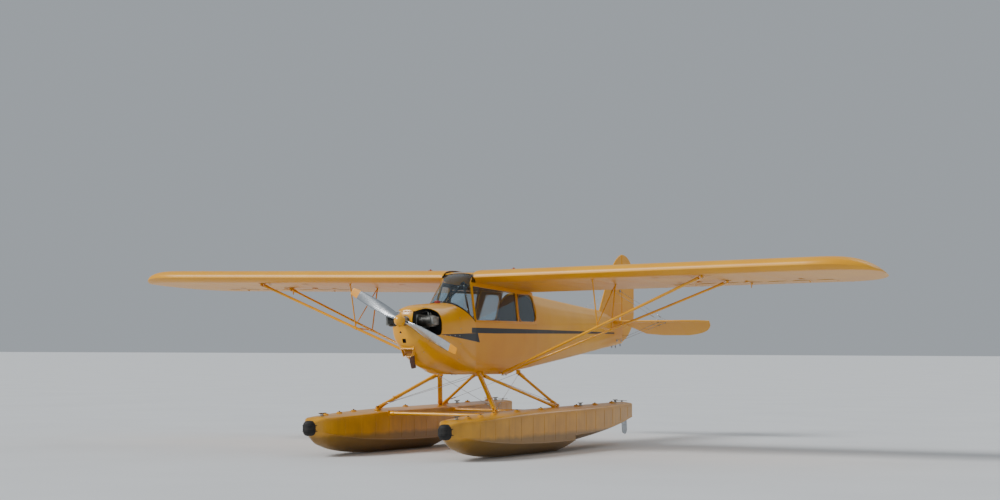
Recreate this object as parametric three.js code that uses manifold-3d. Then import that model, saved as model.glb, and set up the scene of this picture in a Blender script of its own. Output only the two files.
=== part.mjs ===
// Two-seat high-wing floatplane: a fabric-covered airframe on twin aluminium floats.
// Millimetres, +Z up, nose towards -Y, and the aeroplane's own left (port) side towards +X.
// Stations run aft from the wing's leading edge and heights run up from the float keels.
// The whole aeroplane is then slid along Y, so that the origin lies under the middle of its length.
import * as THREE from 'three';
import { mergeVertices } from 'three/addons/utils/BufferGeometryUtils.js';
import Module from 'manifold-3d';

const wasm = await Module();
wasm.setup();

// Driving dimensions
const GAP = 0.4; // between pieces that touch
const BOLT_ON_GAP = 1.2; // between the body and what is bolted on to it
const FORE_END = -2000; // station of the float bumpers' noses
const TAIL_END = 5446; // station of the rudder's trailing edge
const SLIDE_Y = -(FORE_END + TAIL_END) / 2;

const SPAN_HALF = 5365;
const CHORD = 1600;
const ROOT_X = 232; // wing root rib
const STRAIGHT_X = 4620; // where the rounded tip starts
const TIP_STATION = 480; // station of the wing tip's outermost point
const WING_Z = 2155; // flat underside at the root's leading edge
const DIHEDRAL = THREE.MathUtils.degToRad(1.0);
const INCIDENCE = THREE.MathUtils.degToRad(3.0);
const THICKNESS = 0.11; // of the chord
const AILERON = { inner: 2450, outer: 4560, hinge: 1300, nose: 36, clearance: 9 };
const FRONT_SPAR = 235;
const REAR_SPAR = 980;

const FIREWALL = -455;
const SHIELD_FRONT = -440; // station of the windshield's base in the middle
const SHIELD_SIDE = -118; // and at the window sills
const SHIELD_BASE_Z = 1888;
const SILL_Z = 1645; // upper longeron, the window sill
const CABIN_HALF = 332;
const CABIN_END = 1600;
const WALL = 26; // tube and fabric
const BELLY_Z = 975;
const STERN_POST = 4985;
const RUDDER_HINGE = 5011;
const ELEVATOR_HINGE = { station: 4944, height: 1728 };
const HINGE_NOTCH = ELEVATOR_HINGE.station - 27; // front of the notch round the elevators' torque tube
const ELEVATOR_DROOP = THREE.MathUtils.degToRad(27);
const FLOOR_Z = 1040;

const HUB = new THREE.Vector3(0, -1312, 1645);
const PROP_RADIUS = 832;
const PROP_ANGLE = THREE.MathUtils.degToRad(-26.5); // port blade below the horizontal

const FLOAT_X = 945;
const FLOAT_BEAM_HALF = 292;
const STEP_STATION = 900;

// Colours as they look in even light
const YELLOW = 0xe0981d;
const DARK = 0x1c1d1f;
const BARE_METAL = 0xb4b7ba;
const RUBBER = 0x151515;
const CANVAS = 0x4c4a3c;
const GLASS = 0xbfd0d8;
const TRIM = 0x6a6258;

const aeroplane = new THREE.Group();
aeroplane.position.y = SLIDE_Y;
const { degToRad } = THREE.MathUtils;
const V = (x, y, z) => new THREE.Vector3(x, y, z);

// Geometry helpers

function toSolid(geometry) {
  const bare = geometry.clone();
  for (const name of ['normal', 'uv']) bare.deleteAttribute(name);
  const merged = mergeVertices(bare, 1e-3);
  return new wasm.Manifold(new wasm.Mesh({
    numProp: 3,
    vertProperties: new Float32Array(merged.attributes.position.array),
    triVerts: new Uint32Array(merged.index.array),
  }));
}

function toGeometry(solid) {
  const mesh = solid.getMesh();
  const geometry = new THREE.BufferGeometry();
  geometry.setAttribute('position', new THREE.BufferAttribute(new Float32Array(mesh.vertProperties), 3));
  geometry.setIndex(new THREE.BufferAttribute(new Uint32Array(mesh.triVerts), 1));
  geometry.computeVertexNormals();
  return geometry;
}

// Closed body through rings of points; each ring has as many points, and its ends are filled flat.
// flat names the two axes in which the end caps are seen as plain outlines. A thin sheet, whose rings run
// along one face and back along the other, has caps in strips instead.
function loft(rings, flat = ['x', 'z']) {
  const count = rings[0].length;
  const points = rings.flat();
  const sides = [];
  for (let r = 0; r + 1 < rings.length; r += 1) {
    for (let k = 0; k < count; k += 1) {
      const a = r * count + k;
      const b = r * count + ((k + 1) % count);
      sides.push([a, b, b + count], [a, b + count, a + count]);
    }
  }
  const edges = new Set(sides.flatMap((f) => [0, 1, 2].map((k) => `${f[k]}-${f[(k + 1) % 3]}`)));
  const strip = () => Array.from({ length: count / 2 - 1 }, (_, k) => [
    [k, k + 1, count - 1 - k], [k + 1, count - 2 - k, count - 1 - k]]).flat();
  const filled = (first) => THREE.ShapeUtils.triangulateShape(points.slice(first, first + count)
    .map((p) => new THREE.Vector2(p[flat[0]], p[flat[1]])), []);
  const cap = (first) => {
    const faces = (flat === 'sheet' ? strip() : filled(first)).map((t) => t.map((i) => first + i));
    const clash = faces.some((f) => [0, 1, 2].some((k) => edges.has(`${f[k]}-${f[(k + 1) % 3]}`)));
    return clash ? faces.map((f) => [...f].reverse()) : faces;
  };
  const faces = [...sides, ...cap(0), ...cap((rings.length - 1) * count)];
  const volume = faces.reduce(
    (sum, [a, b, c]) => sum + points[a].dot(points[b].clone().cross(points[c])), 0);
  if (volume < 0) faces.forEach((f) => f.reverse());
  const geometry = new THREE.BufferGeometry();
  const places = points.flatMap((p) => [p.x, p.y, p.z]);
  geometry.setAttribute('position', new THREE.Float32BufferAttribute(places, 3));
  geometry.setIndex(faces.flat());
  return geometry;
}

// A flat outline in the side view, given as [station, height] points, thick along X.
function sidePlate(outline, [x0, x1]) {
  return toSolid(loft([x0, x1].map((x) => outline.map(([y, z]) => V(x, y, z))), ['y', 'z']));
}

function boxSolid([x0, x1], [y0, y1], [z0, z1]) {
  const geometry = new THREE.BoxGeometry(x1 - x0, y1 - y0, z1 - z0);
  geometry.translate((x0 + x1) / 2, (y0 + y1) / 2, (z0 + z1) / 2);
  return toSolid(geometry);
}

// Round tube or rod between two points.
function rodSolid(a, b, radius, sides = 8) {
  const length = a.distanceTo(b);
  const geometry = new THREE.CylinderGeometry(radius, radius, length, sides);
  const turn = new THREE.Quaternion().setFromUnitVectors(V(0, 1, 0), b.clone().sub(a).normalize());
  geometry.applyQuaternion(turn);
  geometry.translate((a.x + b.x) / 2, (a.y + b.y) / 2, (a.z + b.z) / 2);
  return toSolid(geometry);
}

// Streamlined strut between two points: its chord lies as near to fore and aft as the strut lets it.
function strutSolid(a, b, chord, thick, sides = 12) {
  const along = b.clone().sub(a).normalize();
  const aft = V(0, 1, 0).addScaledVector(along, -along.y).normalize();
  const side = along.clone().cross(aft);
  const rings = [a, b].map((end) => Array.from({ length: sides }, (_, k) => {
    const t = (k / sides) * Math.PI * 2;
    const taper = Math.sin(t) * (1 - 0.35 * Math.cos(t)) * thick / 2;
    return end.clone().addScaledVector(aft, Math.cos(t) * chord / 2).addScaledVector(side, taper);
  }));
  const flat = Math.abs(along.x) > Math.abs(along.z) ? ['y', 'z'] : ['x', 'y'];
  return toSolid(loft(rings, flat));
}

function join(solids) {
  return solids.reduce((sum, s) => sum.add(s));
}

function mirrored(geometry) {
  const copy = geometry.clone();
  copy.scale(-1, 1, 1);
  const order = copy.index.array;
  for (let i = 0; i < order.length; i += 3) [order[i], order[i + 1]] = [order[i + 1], order[i]];
  copy.computeVertexNormals();
  return copy;
}

function addNode(name, shape, colour, roughness = 0.5, metalness = 0) {
  const geometry = shape.isBufferGeometry ? shape : toGeometry(shape);
  const material = new THREE.MeshStandardMaterial({ color: colour, roughness, metalness });
  const mesh = new THREE.Mesh(geometry, material);
  mesh.name = name;
  aeroplane.add(mesh);
  return geometry;
}

// A port piece and its mirror image.
function addPair(name, shape, colour, roughness, metalness) {
  const geometry = addNode(`${name}_port`, shape, colour, roughness, metalness);
  addNode(`${name}_starboard`, mirrored(geometry), colour, roughness, metalness);
}

// Body sections
// Each ring is a superellipse: half width, top and bottom heights about the height of its widest point,
// and an exponent above and below it; 2 is an ellipse and 9 is nearly a rectangle.
// Columns: station, widest height, half width, top, bottom, exponent above, exponent below.
const NOSE_RINGS = [
  [-1262, 1570, 120, 1712, 1428, 2.2, 2.2],
  [-1240, 1568, 178, 1772, 1360, 2.3, 2.2],
  [-1190, 1560, 222, 1806, 1300, 2.4, 2.2],
  [-1090, 1555, 256, 1832, 1225, 2.5, 2.2],
];
const COWL_RINGS = [
  [-1090, 1555, 256, 1832, 1225, 2.5, 2.2],
  [-920, 1550, 288, 1847, 1115, 2.5, 2.3],
  [-600, 1550, 318, 1868, 1025, 2.5, 2.8],
  [FIREWALL, 1560, 326, 1880, 995, 2.5, 3.6],
];
const BOOT_RINGS = [
  [FIREWALL, 1560, 326, 1880, 995, 2.5, 3.6],
  [-100, 1600, CABIN_HALF, 1890, 980, 2.5, 8],
];
const LOWER_RINGS = [
  [-100, SILL_Z, CABIN_HALF, SILL_Z + 200, 980, 9, 8],
  [700, SILL_Z, CABIN_HALF, SILL_Z + 200, BELLY_Z, 9, 9],
  [1250, SILL_Z, 326, SILL_Z + 200, 1028, 9, 9],
  [CABIN_END, SILL_Z, 315, SILL_Z + 200, 1062, 9, 9],
];
const REAR_RINGS = [
  [CABIN_END, SILL_Z, 315, 2078, 1062, 2.6, 9],
  [1950, SILL_Z, 294, 2050, 1096, 2.3, 9],
  [2400, 1655, 262, 2016, 1140, 2.0, 9],
  [3100, 1668, 208, 1962, 1209, 1.8, 9],
  [3800, 1682, 148, 1908, 1278, 1.7, 9],
  [4300, 1694, 102, 1868, 1327, 1.7, 9],
  [4700, 1702, 62, 1770, 1366, 2.4, 8],
  [STERN_POST, 1708, 26, 1740, 1398, 6, 6],
];
const RING_POINTS = 32;

function bodyRing([station, middle, half, top, bottom, above, below], inset = 0) {
  return Array.from({ length: RING_POINTS }, (_, k) => {
    const t = (k / RING_POINTS) * Math.PI * 2;
    const power = 2 / (Math.sin(t) >= 0 ? above : below);
    const height = Math.sin(t) >= 0 ? top - middle - inset : middle - bottom - inset;
    const x = Math.sign(Math.cos(t)) * Math.abs(Math.cos(t)) ** power * (half - inset);
    const z = middle + Math.sign(Math.sin(t)) * Math.abs(Math.sin(t)) ** power * height;
    return V(x, station, z);
  });
}

// The body through the rows, drawn in by inset (or out, below zero) and longer at both ends by the reaches.
function bodyLoft(rows, inset = 0, foreReach = 0, aftReach = 0) {
  const first = [rows[0][0] - foreReach, ...rows[0].slice(1)];
  const last = [rows[rows.length - 1][0] + aftReach, ...rows[rows.length - 1].slice(1)];
  return toSolid(loft([first, ...rows.slice(1, -1), last].map((row) => bodyRing(row, inset))));
}

const lowerTool = bodyLoft(LOWER_RINGS, -BOLT_ON_GAP);
const rearTool = bodyLoft(REAR_RINGS, -BOLT_ON_GAP);
const bootTool = bodyLoft(BOOT_RINGS, -BOLT_ON_GAP);

// Nose bowl, engine cowl, and boot cowl with its firewall
const COWL_SKIN = 8;
const SHAFT_HOLE = 62;

// Each cooling opening wraps from the nose bowl's front face round to the cowl's side, where a front
// cylinder shows in it. The outline is in the side view, as [station, height], and is cut outwards from inner.
const COOLING = { inner: 92, reach: 500 };
const coolingOutline = [
  [-1300, 1600], [-1200, 1552], [-1070, 1490], [-960, 1468], [-912, 1476], [-890, 1506],
  [-882, 1690], [-902, 1748], [-960, 1784], [-1040, 1798], [-1130, 1790], [-1222, 1765], [-1300, 1745],
];
const coolingOpening = (side) => sidePlate(coolingOutline,
  side > 0 ? [COOLING.inner, COOLING.reach] : [-COOLING.reach, -COOLING.inner]);
const openings = join([coolingOpening(1), coolingOpening(-1)]);
// Small square holes in the nose bowl's front. Columns: x, height, half side.
const FRONT_HOLES = [[-69, 1503, 13], [-21, 1400, 25]];
const frontHoles = join(FRONT_HOLES.map(([x, z, half]) => boxSolid(
  [x - half, x + half], [-1300, -1180], [z - half, z + half])));
const shaftHole = rodSolid(V(0, -1320, HUB.z), V(0, -1150, HUB.z), SHAFT_HOLE, 16);

const noseInner = bodyLoft(NOSE_RINGS.map((row) => [row[0] + 10, ...row.slice(1)]), COWL_SKIN, 0, 20);
addNode('nose_bowl', bodyLoft(NOSE_RINGS, 0, 0, -GAP).subtract(noseInner).subtract(shaftHole)
  .subtract(openings).subtract(frontHoles), YELLOW, 0.35);
addNode('engine_cowl', bodyLoft(COWL_RINGS, 0, 0, -GAP).subtract(bodyLoft(COWL_RINGS, COWL_SKIN, 40, 40))
  .subtract(openings), YELLOW, 0.35);

// The boot cowl ends at the windshield's base, a plane that slopes down and back to the window sills.
const BASE_SLOPE = (SHIELD_SIDE - SHIELD_FRONT) / (SHIELD_BASE_Z - SILL_Z);
const shieldCut = sidePlate([
  [SHIELD_FRONT - 400 * BASE_SLOPE, SHIELD_BASE_Z + 400], [SHIELD_SIDE, SILL_Z], [0, SILL_Z],
  [0, SHIELD_BASE_Z + 400],
], [-600, 600]);
addNode('boot_cowl', bodyLoft(BOOT_RINGS, 0, 0, -GAP).subtract(bodyLoft(BOOT_RINGS, COWL_SKIN, -12, 40))
  .subtract(shieldCut), YELLOW, 0.35);
const FILLER_STATION = -505;
addNode('fuel_cap', join([
  rodSolid(V(0, FILLER_STATION, 1860), V(0, FILLER_STATION, 1898), 34, 16),
  rodSolid(V(0, FILLER_STATION, 1890), V(0, FILLER_STATION, 2010), 4, 8),
]).subtract(bodyLoft(COWL_RINGS, -GAP)), 0xa23a24, 0.4);

// Cabin: belly and two side walls up to the sills, framed windows above them
const lowerShell = bodyLoft(LOWER_RINGS, 0, 0, -GAP)
  .subtract(bodyLoft(LOWER_RINGS, WALL, 40, 40))
  .subtract(boxSolid([-600, 600], [-300, 2000], [SILL_Z, 2200]));
const BELLY_TOP = 1100;
const bellyZone = boxSolid([-600, 600], [-300, 2000], [800, BELLY_TOP]);
const DOOR = { front: 215, back: 1000, low: 1190, high: 2062, gap: 6 };
const doorHole = (grow) => boxSolid([-500, -150], [DOOR.front - grow, DOOR.back + grow],
  [DOOR.low - grow, DOOR.high + grow]);
const wallZone = (side) => boxSolid(side > 0 ? [0, 600] : [-600, 0], [-300, 2000], [BELLY_TOP + GAP, 2200]);

// Upper side frame: it leans in from the sill to the wing root and stops just under the wing.
const FRAME_TOP_X = 222;
const FRAME_THICK = 24;
const wingUnder = (x, y) => WING_Z + (Math.abs(x) - ROOT_X) * Math.tan(DIHEDRAL) - y * Math.tan(INCIDENCE);
const SHIELD_TOP_STATION = -46;
function leaningSlab(thick, foreStation, aftStation, inset) {
  const rings = [foreStation, aftStation].map((y) => {
    const top = wingUnder(ROOT_X, y) - 6;
    const rise = top - SILL_Z;
    const lean = (CABIN_HALF - FRAME_TOP_X) * (rise / 500);
    return [
      V(CABIN_HALF - inset, y, SILL_Z - 0.2), V(CABIN_HALF - inset - lean, y, top),
      V(CABIN_HALF - inset - lean - thick, y, top), V(CABIN_HALF - inset - thick, y, SILL_Z - 0.2),
    ];
  });
  return toSolid(loft(rings));
}
// Window outlines in the side view. The front one follows the windshield's leaning edge, and the post
// between the two leans aft.
const WINDOW_LOW = SILL_Z + 22;
const POST = { front: 1032, back: 1070, lean: 74 };
const FRONT_WINDOW = [
  [-98, WINDOW_LOW], [POST.front, WINDOW_LOW], [POST.front + POST.lean, 2046], [-32, 2104],
];
const REAR_WINDOW = { back: 1578, low: WINDOW_LOW, high: 2035, round: 110 };
function rearWindowOutline(inset) {
  const { back, low, high, round } = REAR_WINDOW;
  const radius = round - inset;
  const corner = (cy, cz, from) => Array.from({ length: 6 }, (_, k) => {
    const t = from + (k / 5) * (Math.PI / 2);
    return [cy + Math.cos(t) * radius, cz + Math.sin(t) * radius];
  });
  return [
    [POST.back + inset, low + inset], ...corner(back - round, low + round, -Math.PI / 2),
    ...corner(back - round, high - round, 0), [POST.back + POST.lean + inset, high - inset],
  ];
}
const frontWindowOutline = (inset) => FRONT_WINDOW.map(([y, z], i) => [
  y + (i === 1 || i === 2 ? -inset : inset), z + (i < 2 ? inset : -inset)]);
const windowBand = [150, 400];
const frontHole = (inset) => sidePlate(frontWindowOutline(inset), windowBand);
const rearHole = (inset) => sidePlate(rearWindowOutline(inset), windowBand);

// The frame's front end leans back with the windshield's side edge.
const frameFront = sidePlate([
  [SHIELD_SIDE - 60, SILL_Z - 10], [SHIELD_SIDE + GAP, SILL_Z - 10], [SHIELD_TOP_STATION + GAP, 2152],
  [SHIELD_TOP_STATION - 120, 2300],
], [-600, 600]);
const solidFrame = leaningSlab(FRAME_THICK, -140, CABIN_END - GAP, 0).subtract(frameFront);
const lowerWall = lowerShell.intersect(wallZone(1));
const wallWith = (holes) => lowerWall.add(solidFrame.subtract(holes).subtract(bootTool));
addNode('side_port', wallWith(frontHole(0).add(rearHole(0))), YELLOW, 0.55);
// On the starboard side the front window is only a quarter light ahead of the door.
const quarterZone = (aft) => boxSolid([150, 500], [-300, DOOR.front - DOOR.gap - aft], [1500, 2300]);
const DOOR_POST = 30;
const quarterHole = frontHole(0).intersect(quarterZone(DOOR_POST));
addNode('side_starboard', toSolid(mirrored(toGeometry(wallWith(quarterHole.add(rearHole(0))))))
  .subtract(doorHole(DOOR.gap)), YELLOW, 0.55);
addNode('belly', lowerShell.intersect(bellyZone), YELLOW, 0.55);

const paneSlab = leaningSlab(4, -140, CABIN_END - 4, 10).subtract(frameFront);
const frontPane = paneSlab.intersect(frontHole(GAP));
addNode('window_front_port', frontPane, GLASS, 0.05);
addNode('window_quarter_starboard', mirrored(toGeometry(frontPane.intersect(quarterZone(DOOR_POST + GAP)))),
  GLASS, 0.05);
addPair('window_rear', paneSlab.intersect(rearHole(GAP)), GLASS, 0.05);

// Two-part door: the glazed upper half swings up to the wing, the lower half folds down.
const doorZone = (low, high) => boxSolid([-500, -200], [DOOR.front, DOOR.back], [low, high]);
const doorSplit = SILL_Z + 4;
const lowerWallStarboard = toSolid(mirrored(toGeometry(lowerWall)));
addNode('door_lower', lowerWallStarboard.intersect(doorZone(DOOR.low, doorSplit - 4)), YELLOW, 0.55);
const solidFrameStarboard = toSolid(mirrored(toGeometry(leaningSlab(FRAME_THICK, -140, CABIN_END, 0))));
const DOOR_RAIL = 30;
const doorGlassHole = boxSolid([-500, -150], [DOOR.front + DOOR_RAIL, DOOR.back - DOOR_RAIL],
  [doorSplit + 8 + DOOR_RAIL, DOOR.high - DOOR_RAIL]);
addNode('door_upper', solidFrameStarboard.intersect(doorZone(doorSplit + 4, DOOR.high))
  .subtract(doorGlassHole), YELLOW, 0.55);
const doorGlass = boxSolid([-500, -150], [DOOR.front + DOOR_RAIL + GAP, DOOR.back - DOOR_RAIL - GAP],
  [doorSplit + 8 + DOOR_RAIL + GAP, DOOR.high - DOOR_RAIL - GAP]);
addNode('door_window', toSolid(mirrored(toGeometry(paneSlab))).intersect(doorGlass), GLASS, 0.05);

// Windshield: one bent sheet from the boot cowl up to the roof
// Columns: middle station, middle height, side half width, side station, side height.
const SHIELD_LEVELS = [
  [SHIELD_FRONT, SHIELD_BASE_Z + 2, 324, SHIELD_SIDE, SILL_Z + 6],
  [-328, 2020, 279, -92, 1850],
  [-192, 2140, 243, -68, 2020],
  [-68, 2222, 218, SHIELD_TOP_STATION - 3, 2152],
  [48, 2268, 216, -6, 2215],
];
const SHIELD_THICK = 5;
const SHIELD_SPREAD = degToRad(80);
const SHIELD_POINTS = 15;
function shieldRow([midY, midZ, half, sideY, sideZ], inset) {
  return Array.from({ length: SHIELD_POINTS }, (_, k) => {
    const angle = (2 * k / (SHIELD_POINTS - 1) - 1) * SHIELD_SPREAD;
    const edge = Math.cos(SHIELD_SPREAD) ** 0.8;
    const mid = (Math.cos(angle) ** 0.8 - edge) / (1 - edge);
    const across = (Math.abs(Math.sin(angle)) / Math.sin(SHIELD_SPREAD)) ** 0.8 * Math.sign(angle);
    const y = sideY + (midY + inset - sideY) * mid;
    return V(across * (half - inset), y, sideZ + (midZ - inset - sideZ) * mid);
  });
}
const shieldRings = SHIELD_LEVELS.map(
  (row) => [...shieldRow(row, 0), ...shieldRow(row, SHIELD_THICK).reverse()]);
addNode('windshield', loft(shieldRings, 'sheet'), GLASS, 0.05);

// Roof between the wing roots, with its skylight
// The wing's section: a flat-bottomed aerofoil, given as fractions of the chord.
const THICK_TERMS = [0.2969, -0.126, -0.3516, 0.2843, -0.1036];
const sectionDepth = (f) => THICK_TERMS[0] * Math.sqrt(f) + THICK_TERMS[1] * f + THICK_TERMS[2] * f ** 2
  + THICK_TERMS[3] * f ** 3 + THICK_TERMS[4] * f ** 4;
const NOSE_HEIGHT = 0.036;
const upperCurve = (f) => NOSE_HEIGHT * (1 - f) ** 8 + 10 * THICKNESS * sectionDepth(f) + 0.002 * f;
const lowerCurve = (f) => (f < 0.09 ? NOSE_HEIGHT * (1 - f / 0.09) ** 2 : 0);
const CHORD_STEPS = 11;
const chordFractions = Array.from({ length: CHORD_STEPS + 1 },
  (_, k) => (1 - Math.cos((k / CHORD_STEPS) * Math.PI)) / 2);

// Ring of a wing section at distance x: leading edge station, chord and how far the depth is shrunk.
function wingRing(x, lead, chord, depth = 1) {
  const at = (f, curve) => {
    const y = lead + f * chord;
    return V(x, y, wingUnder(x, y) + curve(f) * CHORD * depth);
  };
  return [
    ...chordFractions.map((f) => at(f, upperCurve)),
    ...chordFractions.slice(1, -1).reverse().map((f) => at(f, lowerCurve)),
  ];
}

const ROOF = { half: ROOT_X - 7, front: 12, sheet: 12, drop: 16, cheek: 6 };
const SKYLIGHT = { front: 130, back: 760, half: 180 };
function roofStrip(halfWidth, fore, aft, top, thick) {
  const steps = 10;
  const stations = Array.from({ length: steps + 1 }, (_, k) => fore + ((aft - fore) * k) / steps);
  const floor = (y) => wingUnder(ROOT_X, y) - 5;
  const height = (y) => Math.max(wingUnder(ROOT_X, y) + upperCurve(y / CHORD) * CHORD - top, floor(y) + 5);
  const outline = [
    ...stations.map((y) => [y, height(y)]),
    ...[...stations].reverse().map((y) => [y, Math.max(height(y) - thick, floor(y))]),
  ];
  return sidePlate(outline, [-halfWidth, halfWidth]);
}
const roofEnd = CABIN_END - 20;
const cheekShape = (() => {
  const fore = ROOF.front + 60;
  const stations = Array.from({ length: 9 }, (_, k) => fore + ((roofEnd - fore) * k) / 8);
  return [
    ...stations.map((y) => [y, Math.max(wingUnder(ROOT_X, y) + upperCurve(y / CHORD) * CHORD - ROOF.drop - 1,
      wingUnder(ROOT_X, y) - 1)]),
    ...[...stations].reverse().map((y) => [y, wingUnder(ROOT_X, y) - 5]),
  ];
})();
const cheek = (side) => sidePlate(cheekShape,
  side > 0 ? [ROOF.half - ROOF.cheek, ROOF.half] : [-ROOF.half, ROOF.cheek - ROOF.half]);
const skylightHole = (inset) => boxSolid([inset - SKYLIGHT.half, SKYLIGHT.half - inset],
  [SKYLIGHT.front + inset, SKYLIGHT.back - inset], [2000, 2500]);
addNode('cabin_roof', roofStrip(ROOF.half, ROOF.front + 48, roofEnd, ROOF.drop, ROOF.sheet)
  .add(cheek(1)).add(cheek(-1)).subtract(skylightHole(0)), YELLOW, 0.5);
addNode('skylight', roofStrip(SKYLIGHT.half, ROOF.front + 50, roofEnd, ROOF.drop + 2, 5)
  .intersect(skylightHole(GAP)), GLASS, 0.05);

// Tubes over the cabin: the windshield's inverted V and the two spar carry-through tubes
const TUBE = 12;
const CARRY_Z = 2118;
const vTop = V(0, 140, 2160);
const V_FOOT = { x: 262, station: -150, height: 1700 };
const sideBrace = (side) => rodSolid(
  V(side * 286, -84, 1690), V(side * 192, FRONT_SPAR - 12, CARRY_Z - 4), TUBE);
addNode('cabin_frame', join([
  rodSolid(vTop, V(V_FOOT.x, V_FOOT.station, V_FOOT.height), TUBE),
  rodSolid(vTop, V(-V_FOOT.x, V_FOOT.station, V_FOOT.height), TUBE),
  sideBrace(1), sideBrace(-1), rodSolid(vTop, V(0, FRONT_SPAR, CARRY_Z - 4), TUBE),
  rodSolid(V(-190, FRONT_SPAR, CARRY_Z - 4), V(190, FRONT_SPAR, CARRY_Z - 4), TUBE + 4, 10),
  rodSolid(V(-190, REAR_SPAR, CARRY_Z - 40), V(190, REAR_SPAR, CARRY_Z - 40), TUBE + 4, 10),
  rodSolid(V(0, FRONT_SPAR, CARRY_Z - 4), V(0, REAR_SPAR, CARRY_Z - 40), TUBE),
]), DARK, 0.5);

// Cabin floor, panel, sticks and the two seats
const INNER_HALF = CABIN_HALF - WALL - 46;
addNode('cabin_floor', boxSolid([-INNER_HALF, INNER_HALF], [-60, 1200], [FLOOR_Z + 40, FLOOR_Z + 52]),
  CANVAS, 0.8);
const panelShape = new THREE.Shape();
panelShape.moveTo(-262, 1500);
panelShape.lineTo(262, 1500);
panelShape.lineTo(262, 1640);
panelShape.absellipse(0, 1640, 262, 150, 0, Math.PI, false);
panelShape.closePath();
const panelGeometry = new THREE.ExtrudeGeometry(panelShape,
  { depth: 12, bevelEnabled: false, curveSegments: 12 });
panelGeometry.rotateX(Math.PI / 2);
panelGeometry.translate(0, -318, 0);
addNode('instrument_panel', toSolid(panelGeometry), DARK, 0.6);

const STICK = { stations: [60, 880], top: 1440, radius: 11, tube: 1106 };
addNode('control_sticks', join([
  ...STICK.stations.map((y) => rodSolid(V(0, y, STICK.tube), V(0, y + 10, STICK.top), STICK.radius)),
  rodSolid(V(0, STICK.stations[0] - 25, STICK.tube), V(0, STICK.stations[1] + 25, STICK.tube), STICK.radius),
]), DARK, 0.5);

// Columns: name, front of the cushion, its back, half width, top of the backrest.
const SEATS = [['front', 250, 640, 200, 1700], ['rear', 1090, 1470, 250, 1700]];
const SEAT = { base: 1330, cushion: 75, back: 60, leg: 18 };
for (const [name, front, back, half, top] of SEATS) {
  const leg = (x) => boxSolid([x - SEAT.leg / 2, x + SEAT.leg / 2], [front + 20, back + 20],
    [FLOOR_Z + 52 + GAP, SEAT.base - 5]);
  addNode(`seat_base_${name}`, join([
    boxSolid([-half, half], [front, back + 50], [SEAT.base - 12, SEAT.base]),
    leg(half - SEAT.leg), leg(SEAT.leg - half),
    boxSolid([-half, half], [back + SEAT.back + 2, back + SEAT.back + 12], [SEAT.base - 12, top - 30]),
    boxSolid([-half, half], [back, back + SEAT.back + 12], [SEAT.base - 12, SEAT.base]),
  ]), DARK, 0.6);
  addNode(`seat_cushion_${name}`, boxSolid([-half, half], [front, back - GAP],
    [SEAT.base + GAP, SEAT.base + SEAT.cushion]), CANVAS, 0.9);
  addNode(`seat_back_${name}`, boxSolid([-half, half], [back, back + SEAT.back],
    [SEAT.base + GAP, top]), CANVAS, 0.9);
}

// Engine with its cylinders, mount and exhaust; air intake box
const ENGINE = { half: 115, front: -1175, back: -640, low: HUB.z - 95, high: HUB.z + 90 };
// Columns: side, station, reach from the middle; the rear pair stays under the cowl.
const CYLINDERS = [[1, -1118, 332], [-1, -1134, 332], [1, -945, 215], [-1, -961, 215]];
const CYLINDER = { radius: 58, fin: 70, finThick: 10, finAt: [0.55, 0.7, 0.85] };
const cylinders = CYLINDERS.flatMap(([side, y, reach]) => [
  rodSolid(V(0, y, HUB.z), V(side * reach, y, HUB.z), CYLINDER.radius, 10),
  ...CYLINDER.finAt.map((f) => rodSolid(V(side * reach * f, y, HUB.z),
    V(side * (reach * f + CYLINDER.finThick), y, HUB.z), CYLINDER.fin, 10)),
]);
const mounts = [[1, 1], [1, -1], [-1, 1], [-1, -1]].map(([sx, sz]) => rodSolid(
  V(sx * 95, ENGINE.back - 15, HUB.z + sz * 70),
  V(sx * 205, FIREWALL - GAP - 3, HUB.z + sz * 120 - 30), 11));
addNode('engine', join([
  boxSolid([-ENGINE.half, ENGINE.half], [ENGINE.front, ENGINE.back], [ENGINE.low, ENGINE.high]),
  rodSolid(V(0, ENGINE.front - 18, HUB.z), V(0, ENGINE.front + 10, HUB.z), 40, 12),
  ...cylinders, ...mounts,
]).subtract(boxSolid([-600, 600], [FIREWALL - GAP, 0], [900, 2000])), BARE_METAL, 0.5, 0.8);
// The air scoop under the nose bowl, narrower at its foot; mouth is the top of its open front.
const INTAKE = {
  front: -1215, back: -1152, low: 1208, high: 1350, footHalf: 64, topHalf: 104, mouth: 1302, wall: 6,
};
const noseTool = bodyLoft([...NOSE_RINGS.slice(0, 3), ...COWL_RINGS], -GAP);
const scoopHalf = (z) => INTAKE.footHalf
  + ((INTAKE.topHalf - INTAKE.footHalf) * (z - INTAKE.low)) / (INTAKE.high - INTAKE.low);
const scoopLoft = (front, back, low, high, inset) => toSolid(loft([front, back].map((y) => [
  V(inset - scoopHalf(low), y, low), V(scoopHalf(low) - inset, y, low),
  V(scoopHalf(high) - inset, y, high), V(inset - scoopHalf(high), y, high),
])));
addNode('intake_box', scoopLoft(INTAKE.front, INTAKE.back, INTAKE.low, INTAKE.high, 0)
  .subtract(scoopLoft(
    INTAKE.front - 50, INTAKE.back - 8, INTAKE.low + INTAKE.wall, INTAKE.mouth, INTAKE.wall))
  .subtract(noseTool), YELLOW, 0.4);
const exhaustCurve = new THREE.CatmullRomCurve3([V(0, -1104, 1270), V(0, -1100, 1165), V(4, -1070, 1072)]);
const exhaustShape = new THREE.Shape().absarc(0, 0, 31, 0, Math.PI * 2, false);
addNode('exhaust', toSolid(new THREE.ExtrudeGeometry(exhaustShape,
  { steps: 6, curveSegments: 6, extrudePath: exhaustCurve })).subtract(noseTool), TRIM, 0.7, 0.6);

// Propeller and spinner
const HUB_REACH = 74; // from the blades' middle to the hub's front face
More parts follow.
